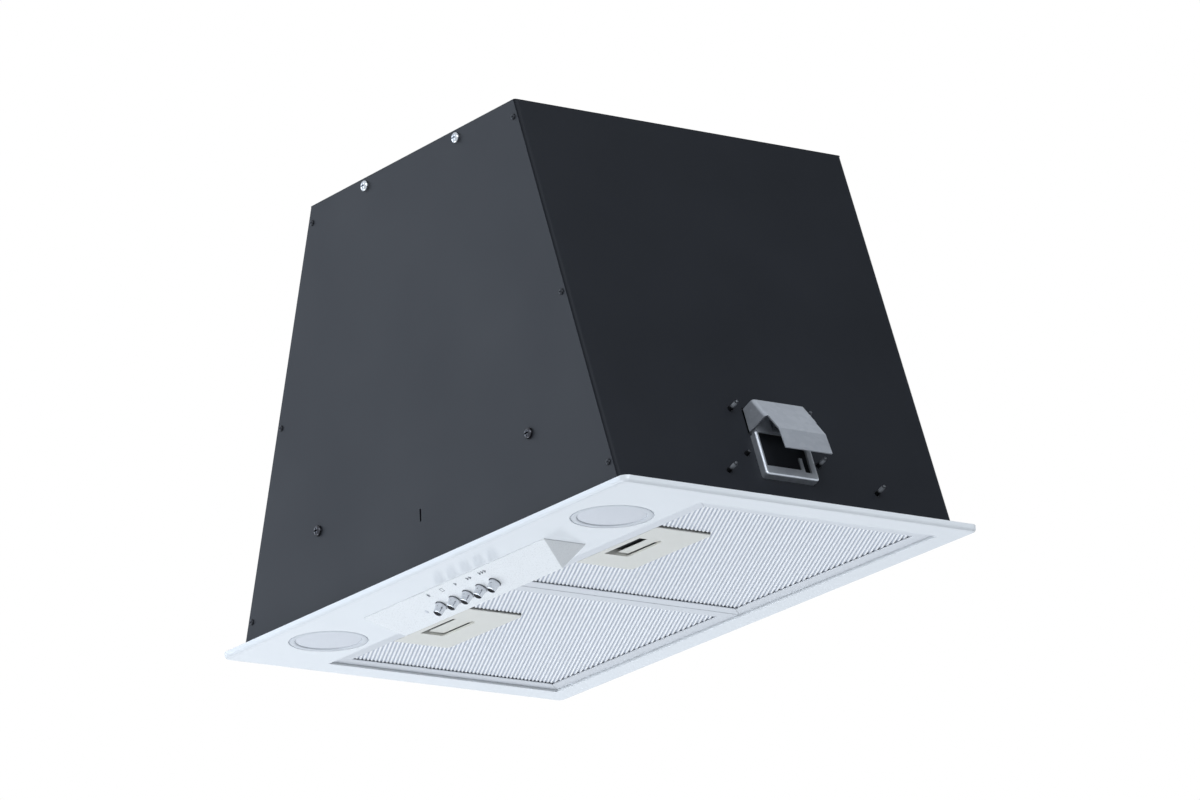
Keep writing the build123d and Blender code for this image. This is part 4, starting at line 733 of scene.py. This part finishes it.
for node, (width, material) in EASED_NODES.items():
    eased(node, width, material)
for side, centre in FILTER_CENTRES.items():
    latch_slider(side, centre)
    recess_shade_sheet(side, centre)
    springs(side)
control_shell()


# Push buttons

def control_place(x, down):
    """A place on the control box's long face, some way down it from the front, its Z axis out of the face."""
    out = Vector((0, -sin(CONTROL_SLOPE), -cos(CONTROL_SLOPE)))
    along = Vector((0, cos(CONTROL_SLOPE), -sin(CONTROL_SLOPE)))
    origin = Vector((x, CONTROL_FRONT, PLATE_UNDER)) + along * down
    return standing(origin, out, (1, 0, 0))


def buttons():
    """Five caps on their stems: a neck in the hole, a tapered wall, a rounded shoulder, a nearly flat tip."""
    tip = [(radius, BUTTON_TIP - BUTTON_TIP_BOW * radius ** 2) for radius in BUTTON_TIP_RINGS]
    rings = BUTTON_STEM + BUTTON_WALL + BUTTON_SHOULDER + tip
    cap = smooth(raise_rings("button_cap", rings, BUTTON_SIDES), TURNED_ANGLE)
    for name, x in BUTTON_PLACES.items():
        twin = copy_to(cap, f"{name}_button_cap", control_place(x, BUTTON_ROW_DOWN))
        stand_for(twin, f"{name}_button", CHROME)
    bpy.data.objects.remove(cap)


buttons()


# Lamps

def lamp_ring():
    """Can, flange, bezel and the groove beside the glass, in one turned piece."""
    rings = LAMP_CAN + LAMP_FLANGE + LAMP_BEZEL + LAMP_GROOVE
    return smooth(raise_rings("lamp_ring", rings, LAMP_SIDES), TURNED_ANGLE)


def lamp_disc():
    """A frosted disc, a little crowned, with a rounded edge."""
    dome = [(radius, LENS_RECESS - LENS_CROWN * (1 - (radius / LENS_RADIUS) ** 2)) for radius in LENS_RINGS]
    return smooth(raise_rings("lamp_disc", LENS_EDGE + dome, LAMP_SIDES), TURNED_ANGLE)


def lamps():
    """Two lamps in the plate, each a ring and its glass."""
    ring = lamp_ring()
    disc = lamp_disc()
    for side, x in (("right", LAMP_X), ("left", -LAMP_X)):
        place = Matrix.Translation(Vector((x, LAMP_Y, PLATE_UNDER)) * MM)
        stand_for(copy_to(ring, f"{side}_lamp_bezel", place), f"{side}_lamp_body", PALE_GREY_ABS)
        stand_for(copy_to(disc, f"{side}_lamp_glass", place), f"{side}_lamp_lens", ACRYLIC)
    bpy.data.objects.remove(ring)
    bpy.data.objects.remove(disc)


lamps()


# Grease filters

def frame_bar(name, low, high, inward):
    """A channel of folded strip, open to the inside of the filter."""
    bar = block(name, low, high)
    pick(bar, "FACE", lambda face: face.normal.dot(inward) > 0.9)
    bpy.ops.mesh.inset(thickness=FILTER_SHEET * MM)
    back = -inward * (FILTER_BAR - FILTER_SHEET) * MM
    bpy.ops.mesh.extrude_region_move(TRANSFORM_OT_translate={"value": back})
    bpy.ops.object.mode_set(mode="OBJECT")
    return bar


def mitre(bar, corner, normal):
    """Cut a bar's end off along the line from a corner of the filter to its inside."""
    edit(bar)
    bpy.ops.mesh.bisect(plane_co=Vector((corner[0], corner[1], 0)) * MM, plane_no=normal, use_fill=True,
                        clear_outer=True)
    bpy.ops.object.mode_set(mode="OBJECT")


def filter_frame(side, centre):
    """Four mitred bars, the slot that the latch's tongue passes and two tabs at the back."""
    left = centre - FILTER_WIDTH / 2
    right = centre + FILTER_WIDTH / 2
    bars = []
    for name, y, sign in (("front", FILTER_FRONT, 1), ("back", FILTER_BACK, -1)):
        low, high = sorted((y, y + sign * FILTER_BAR))
        bar = frame_bar(f"{side}_{name}_bar", (left - FILTER_BAR, low, FILTER_BOTTOM),
                        (right + FILTER_BAR, high, FILTER_TOP), Vector((0, sign, 0)))
        mitre(bar, (left + MITRE_GAP, y), (-1, sign, 0))
        mitre(bar, (right - MITRE_GAP, y), (1, sign, 0))
        bars.append(bar)
    for name, x, sign in (("left", left, 1), ("right", right, -1)):
        low, high = sorted((x, x + sign * FILTER_BAR))
        bar = frame_bar(f"{side}_{name}_bar", (low, FILTER_FRONT - FILTER_BAR, FILTER_BOTTOM),
                        (high, FILTER_BACK + FILTER_BAR, FILTER_TOP), Vector((sign, 0, 0)))
        mitre(bar, (x, FILTER_FRONT + MITRE_GAP), (sign, -1, 0))
        mitre(bar, (x, FILTER_BACK - MITRE_GAP), (sign, 1, 0))
        bars.append(bar)
    low, high = TONGUE_SLOT_Z
    cut(bars[0], block("tongue_slot", (centre - TONGUE_SLOT_HALF, FILTER_FRONT - PAST, low),
                       (centre + TONGUE_SLOT_HALF, FILTER_FRONT + PAST, high)))
    low, high = TAB_Z
    for offset in TAB_OFFSETS:
        x = centre + offset
        bars.append(block(f"{side}_tab", (x - TAB_HALF, FILTER_BACK - FILTER_SHEET, low),
                          (x + TAB_HALF, FILTER_BACK + TAB_OUT, high)))
    whole = join(f"{side}_filter_channel", bars)
    turn_outwards(whole)
    ease_edges(whole, FRAME_EASE)
    stand_for(whole, f"{side}_filter_frame", FRAME_ALUMINIUM)


def latch_clearance(centre, low, high):
    """A block with two rounded corners that keeps the mesh clear of the latch's body."""
    left = centre - LATCH_WIDTH / 2 + LATCH_CLEARANCE_INSET
    right = centre + LATCH_WIDTH / 2 + LATCH_SIDE_GAP
    back = LATCH_BACK - LATCH_CLEARANCE_INSET
    cutter = block("latch_clearance", (left, FILTER_FRONT - PAST, low), (right, back, high))

    def stands_at_back(edge):
        one, other = (cutter.data.vertices[index].co / MM for index in edge.vertices)
        return min(one.y, other.y) > back - NEAR and abs(one.x - other.x) < NEAR

    pick(cutter, "EDGE", stands_at_back)
    bpy.ops.mesh.bevel(offset=LATCH_CLEARANCE_CORNER * MM, segments=4, affect="EDGES")
    bpy.ops.object.mode_set(mode="OBJECT")
    return cutter


def trim_to_frame(sheet, centre):
    """Cut a sheet off where the frame's channel ends inside."""
    inset = FILTER_SHEET + MESH_EDGE_GAP
    edges = [((centre - FILTER_WIDTH / 2 + inset, 0, 0), (-1, 0, 0)),
             ((centre + FILTER_WIDTH / 2 - inset, 0, 0), (1, 0, 0)),
             ((0, FILTER_FRONT + inset, 0), (0, -1, 0)),
             ((0, FILTER_BACK - inset, 0), (0, 1, 0))]
    for place, normal in edges:
        edit(sheet)
        bpy.ops.mesh.bisect(plane_co=Vector(place) * MM, plane_no=normal, clear_outer=True)
        bpy.ops.object.mode_set(mode="OBJECT")


def crimped_sheet(name, centre, height, slant):
    """A crimped sheet: one wave of a strip, repeated across the filter, turned by its slant and trimmed."""
    deselect()
    bpy.ops.mesh.primitive_grid_add(x_subdivisions=1, y_subdivisions=MESH_WAVE_STEPS, size=1)
    sheet = named(name)
    sheet.scale = (MESH_REACH * MM, MESH_PITCH * MM, 1)
    settle()
    for line in sorted({round(vertex.co.y / MM, 4) for vertex in sheet.data.vertices}):
        rise = MESH_WAVE * (1 - cos(2 * pi * (line / MESH_PITCH + 0.5))) / 2
        pick(sheet, "VERT", lambda vertex: abs(vertex.co.y / MM - line) < NEAR)
        bpy.ops.transform.translate(value=(0, 0, rise * MM))
    bpy.ops.object.mode_set(mode="OBJECT")
    count = int(MESH_REACH / MESH_PITCH)
    modify(sheet, "ARRAY", count=count, use_relative_offset=False, use_constant_offset=True,
           constant_offset_displace=(0, MESH_PITCH * MM, 0), use_merge_vertices=True,
           merge_threshold=MESH_WAVE_WELD * MM)
    middle = Matrix.Translation(Vector((centre, (FILTER_FRONT + FILTER_BACK) / 2, height)) * MM)
    turn = Matrix.Rotation(radians(slant), 4, "Z")
    half_back = Matrix.Translation((0, -count * MESH_PITCH / 2 * MM, 0))
    put(sheet, middle @ turn @ half_back)
    trim_to_frame(sheet, centre)
    modify(sheet, "SOLIDIFY", thickness=MESH_FOIL * MM, offset=1.0)
    cut(sheet, latch_clearance(centre, height - PAST, FILTER_TOP))
    return smooth(sheet, WAVE_ANGLE)


for side, centre in FILTER_CENTRES.items():
    filter_frame(side, centre)
    lower = crimped_sheet(f"{side}_crimped_net", centre, MESH_LOW, MESH_TURN)
    upper = crimped_sheet(f"{side}_upper_net", centre, MESH_HIGH, -MESH_TURN)
    net = join(f"{side}_filter_net", [lower, upper])
    stand_for(net, f"{side}_filter_mesh", NET_ALUMINIUM)


# Screws

def cross_screw(name, shank, head, rise, length, cross):
    """A round-headed screw with a cross recess, its head standing on height 0."""
    dome = [(head * out, rise * up) for out, up in HEAD_ROUNDING]
    screw = raise_rings(name, [(shank, -length), (shank, 0), (head, 0)] + dome, HEAD_SIDES)
    half = cross / CROSS_SLIMNESS
    for turn in (0, 90):
        cutter = block("cross_cutter", (-cross, -half, rise * CROSS_FLOOR), (cross, half, rise + PAST))
        put(cutter, Matrix.Rotation(radians(turn), 4, "Z"))
        cut(screw, cutter)
    return smooth(screw, TURNED_ANGLE)


def screws_on_ends(node, name, screw, places, material):
    """Copies of a screw on the front and back panels, joined to one piece."""
    copies = [copy_to(screw, f"{name}_{i}", standing(place, out, (1, 0, 0)))
              for i, (place, out) in enumerate(places)]
    stand_for(join(name, copies), node, material)
    bpy.data.objects.remove(screw)


def end_screws():
    """Small screws along the slanted edges, bright ones under the top and dark ones on the front."""
    ends = ((CASE_FRONT, (0, -1, 0)), (-CASE_FRONT, (0, 1, 0)))
    slope = (CASE_TOP_HALF - CASE_BASE_HALF) / (CASE_TOP - CASE_FOOT)
    inset = EDGE_SCREW_INSET * (1 + slope ** 2) ** 0.5
    edge_places = [((side * (CASE_BASE_HALF + (z - CASE_FOOT) * slope - inset), y, z), out)
                   for y, out in ends for z in EDGE_SCREW_HEIGHTS for side in (1, -1)]
    top_places = [((x, y, TOP_SCREW_Z), out) for y, out in ends for x in (-TOP_SCREW_X, TOP_SCREW_X)]
    pan_places = [((x, CASE_FRONT, PAN_SCREW_Z), (0, -1, 0)) for x in (-PAN_SCREW_X, PAN_SCREW_X)]
    screws_on_ends("edge_screws", "edge_screw_set", cross_screw("edge_screw", **EDGE_SCREW), edge_places,
                   BLACK_SCREW)
    screws_on_ends("top_screws", "top_screw_set", cross_screw("top_screw", **PAN_SCREW), top_places, ZINC)
    screws_on_ends("bracket_screws", "bracket_screw_set", cross_screw("pan_screw", **PAN_SCREW), pan_places,
                   DARK_NICKEL)


def thread(name, low, high):
    """A helical ridge round a screw's shank, wound from a small triangle."""
    deselect()
    start = Vector((SIDE_SCREW_SHANK, 0, low)) * MM
    bpy.ops.mesh.primitive_circle_add(vertices=3, radius=THREAD_DEPTH * MM, fill_type="NOTHING",
                                      location=start, rotation=(radians(90), 0, 0))
    ridge = named(name)
    settle()
    turns = int((high - low) / THREAD_PITCH)
    modify(ridge, "SCREW", axis="Z", angle=2 * pi, screw_offset=THREAD_PITCH * MM, iterations=turns,
           steps=THREAD_STEPS, render_steps=THREAD_STEPS, use_merge_vertices=True)
    turn_outwards(ridge)
    return ridge


def side_screw(length):
    """A pointed, threaded screw driven out through the side, height 0 at the panel's outer face."""
    back, seat = SIDE_SCREW_HEAD_Z
    shoulder = length - SIDE_SCREW_POINT
    rings = [(SIDE_SCREW_HEAD, back), (SIDE_SCREW_HEAD, seat)]
    rings += [(SIDE_SCREW_CORE, seat), (SIDE_SCREW_CORE, shoulder)]
    rings += [(radius, length - behind) for radius, behind in SIDE_SCREW_TIP]
    core = raise_rings("side_screw_core", rings, SIDE_SCREW_SIDES)
    return join("side_screw", [core, thread("side_screw_thread", THREAD_START, shoulder)])


def side_screws():
    """Six screws out through each slanted side, joined to one piece."""
    copies = []
    for side in (1, -1):
        out = Vector((side * cos(SIDE_TILT), 0, sin(SIDE_TILT)))
        up = Vector((-side * sin(SIDE_TILT), 0, cos(SIDE_TILT)))
        for i, (y, rise, length) in enumerate(SIDE_SCREWS):
            screw = side_screw(length)
            origin = Vector((side * CASE_BASE_HALF, y, CASE_FOOT)) + up * rise
            copies.append(copy_to(screw, f"side_screw_{side}_{i}", standing(origin, out, (0, 1, 0))))
            bpy.data.objects.remove(screw)
    stand_for(smooth(join("side_screw_set", copies), TURNED_ANGLE), "side_screws", PHOSPHATED)


end_screws()
side_screws()


# Printed signs over the buttons

def printed(name, x, shapes):
    """A sign made of flat shapes, put on the control box's face over a button."""
    sign = join(name, shapes)
    edit(sign)
    bpy.ops.mesh.extrude_region_move(TRANSFORM_OT_translate={"value": (0, 0, INK_FILM * MM)})
    turn_outwards(sign)
    put(sign, control_place(x, SIGN_ROW_DOWN))
    dress(sign, INK)
    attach(sign, BODY_OF["control_box"])


def dot(x, y, radius):
    """A flat round spot of a sign."""
    deselect()
    bpy.ops.mesh.primitive_circle_add(vertices=DOT_SIDES, radius=radius * MM, fill_type="NGON",
                                      location=(x * MM, y * MM, 0))
    piece = named("dot")
    settle()
    return piece


def dash(x, y, length, width, turn):
    """A flat stroke of a sign."""
    deselect()
    bpy.ops.mesh.primitive_plane_add(size=1, location=(x * MM, y * MM, 0), rotation=(0, 0, turn))
    piece = named("dash")
    piece.scale = (length * MM, width * MM, 1)
    settle()
    return piece


def small_fan(x):
    """A hub with three round blades."""
    turns = [2 * pi * step / 3 for step in range(3)]
    blades = [dot(x + FAN_BLADE_REACH * cos(turn), FAN_BLADE_REACH * sin(turn), FAN_BLADE) for turn in turns]
    return [dot(x, 0, FAN_HUB)] + blades


def signs():
    """A shining bulb for the light, a square for stop, and one to three small fans for the speeds."""
    turns = [pi * step / 4 for step in range(-1, 6)]
    rays = [dash(RAY_REACH * cos(turn), BULB_Y + RAY_REACH * sin(turn), *RAY_SIZE, turn) for turn in turns]
    bulb = [dot(0, BULB_Y, BULB_RADIUS), dash(0, BULB_CAP_Y, *BULB_CAP_SIZE, 0)]
    printed("light_sign", BUTTON_PLACES["light"], bulb + rays)
    long_side = 2 * SQUARE_HALF + SQUARE_LINE
    short_side = 2 * SQUARE_HALF - SQUARE_LINE
    square = [dash(0, sign * SQUARE_HALF, long_side, SQUARE_LINE, 0) for sign in (1, -1)]
    square += [dash(sign * SQUARE_HALF, 0, short_side, SQUARE_LINE, pi / 2) for sign in (1, -1)]
    printed("stop_sign", BUTTON_PLACES["stop"], square)
    for speed in (1, 2, 3):
        fans = []
        for step in range(speed):
            fans += small_fan(FAN_PITCH * (step - (speed - 1) / 2))
        printed(f"speed_{speed}_sign", BUTTON_PLACES[f"speed_{speed}"], fans)


signs()


# Stage

def background():
    """White where it is looked at, bright in mirror images, and a soft fill light on everything."""
    world = bpy.data.worlds.new("studio")
    world.use_nodes = True
    bpy.context.scene.world = world
    tree = world.node_tree
    path = add(tree, "ShaderNodeLightPath")
    seen = add(tree, "ShaderNodeMath", {0: path.outputs["Is Camera Ray"], 1: path.outputs["Is Glossy Ray"]},
               operation="MAXIMUM")
    seen = add(tree, "ShaderNodeMath", {0: seen.outputs[0], 1: path.outputs["Is Transmission Ray"]},
               operation="MAXIMUM")
    strength = add(tree, "ShaderNodeMapRange", {"Value": seen.outputs[0], "To Min": WORLD_FILL})
    colour = add(tree, "ShaderNodeMix", {MIX_SHARE: path.outputs["Is Camera Ray"],
                                         MIX_FROM: linear(STUDIO_TINT), MIX_TO: linear("#FFFFFF")},
                 data_type="RGBA")
    fill(tree, tree.nodes["Background"], {"Color": colour.outputs[MIXED],
                                          "Strength": strength.outputs["Result"]})


def pale_floor():
    # Pale painted floor: matt and faintly cloudy under the lamps, fading to white away from the object.
    # It glows white in mirror images, and it is clear from below, so that the hood can be seen through it.
    material, tree, shader, place = finish_named("pale_painted_floor")
    cloud = add(tree, "ShaderNodeTexNoise", {"Vector": place, "Scale": per(400), "Detail": 3.0})
    colour = add(tree, "ShaderNodeMix", {MIX_SHARE: cloud.outputs["Fac"], MIX_FROM: linear("#EDEDED"),
                                         MIX_TO: linear("#F1F1F1")}, data_type="RGBA")
    fill(tree, shader, {"Base Color": colour.outputs[MIXED], "Roughness": 0.7})
    path = add(tree, "ShaderNodeLightPath")
    reach = add(tree, "ShaderNodeVectorMath", {0: place}, operation="LENGTH")
    pale = add(tree, "ShaderNodeMapRange", {"Value": reach.outputs["Value"], "From Min": FLOOR_FADE[0],
                                            "From Max": FLOOR_FADE[1], "To Min": FLOOR_GLOW})
    looked_at = add(tree, "ShaderNodeMath", {0: path.outputs["Is Camera Ray"], 1: pale.outputs["Result"]},
                    operation="MULTIPLY")
    shine = add(tree, "ShaderNodeMath", {0: path.outputs["Is Glossy Ray"], 1: looked_at.outputs[0]},
                operation="MAXIMUM")
    tint = add(tree, "ShaderNodeMix", {MIX_SHARE: path.outputs["Is Camera Ray"],
                                       MIX_FROM: linear(STUDIO_TINT), MIX_TO: linear("#FFFFFF")},
               data_type="RGBA")
    glow = add(tree, "ShaderNodeEmission", {"Color": tint.outputs[MIXED], "Strength": 1.0})
    mixed = add(tree, "ShaderNodeMixShader", {0: shine.outputs[0], 1: shader.outputs["BSDF"],
                                              2: glow.outputs["Emission"]})
    side = add(tree, "ShaderNodeNewGeometry")
    clear = add(tree, "ShaderNodeBsdfTransparent")
    from_above = add(tree, "ShaderNodeMixShader", {0: side.outputs["Backfacing"], 1: mixed.outputs["Shader"],
                                                   2: clear.outputs["BSDF"]})
    fill(tree, tree.nodes["Material Output"], {"Surface": from_above.outputs["Shader"]})
    return material


def stage_sheet(name, size, place):
    """A flat sheet of the stage, which isn't part of the object."""
    deselect()
    bpy.ops.mesh.primitive_grid_add(x_subdivisions=4, y_subdivisions=4, size=size, location=place)
    sheet = named(name)
    return sheet


def floor():
    """A wide floor far below the hood."""
    dress(stage_sheet("floor", FLOOR_SIZE, (0, 0, FLOOR_HEIGHT)), pale_floor())


def softboxes():
    """Square lamps that all point at the hood."""
    for name, (place, size, power, tint) in SOFTBOXES.items():
        light = bpy.data.lights.new(name, "AREA")
        light.shape = "SQUARE"
        light.size = size
        light.energy = power
        light.color = linear(tint)[:3]
        lamp = bpy.data.objects.new(name, light)
        bpy.context.scene.collection.objects.link(lamp)
        lamp.location = place
        lamp.rotation_euler = (Vector(SOFTBOX_AIM) - Vector(place)).to_track_quat("-Z", "Y").to_euler()


def dark_cards():
    """Cards that show only in mirror images, so that glossy pieces have something dark to mirror."""
    for name, (place, size) in DARK_CARDS.items():
        card = stage_sheet(name, 1, place)
        card.scale = size
        card.rotation_euler = (-Vector(place)).to_track_quat("Z", "Y").to_euler()
        dress(card, RUBBER)
        card.visible_camera = False
        card.visible_diffuse = False
        card.visible_shadow = False


def photo_camera():
    """The photograph's view: from the right, the front and below, with a long lens."""
    lens = bpy.data.cameras.new("photo_view")
    lens.sensor_width = CAMERA_SENSOR_MM
    lens.lens = CAMERA_LENS_MM
    lens.clip_end = CAMERA_REACH
    camera = bpy.data.objects.new("photo_view", lens)
    bpy.context.scene.collection.objects.link(camera)
    right = Vector(CAMERA_RIGHT).normalized()
    back = Vector(CAMERA_BACK).normalized()
    up = back.cross(right).normalized()
    turn = Matrix((right, up, back)).transposed().to_4x4()
    turn.translation = CAMERA_PLACE
    camera.matrix_world = turn
    bpy.context.scene.camera = camera


background()
floor()
softboxes()
dark_cards()
photo_camera()
bpy.context.scene.view_settings.view_transform = "Standard"
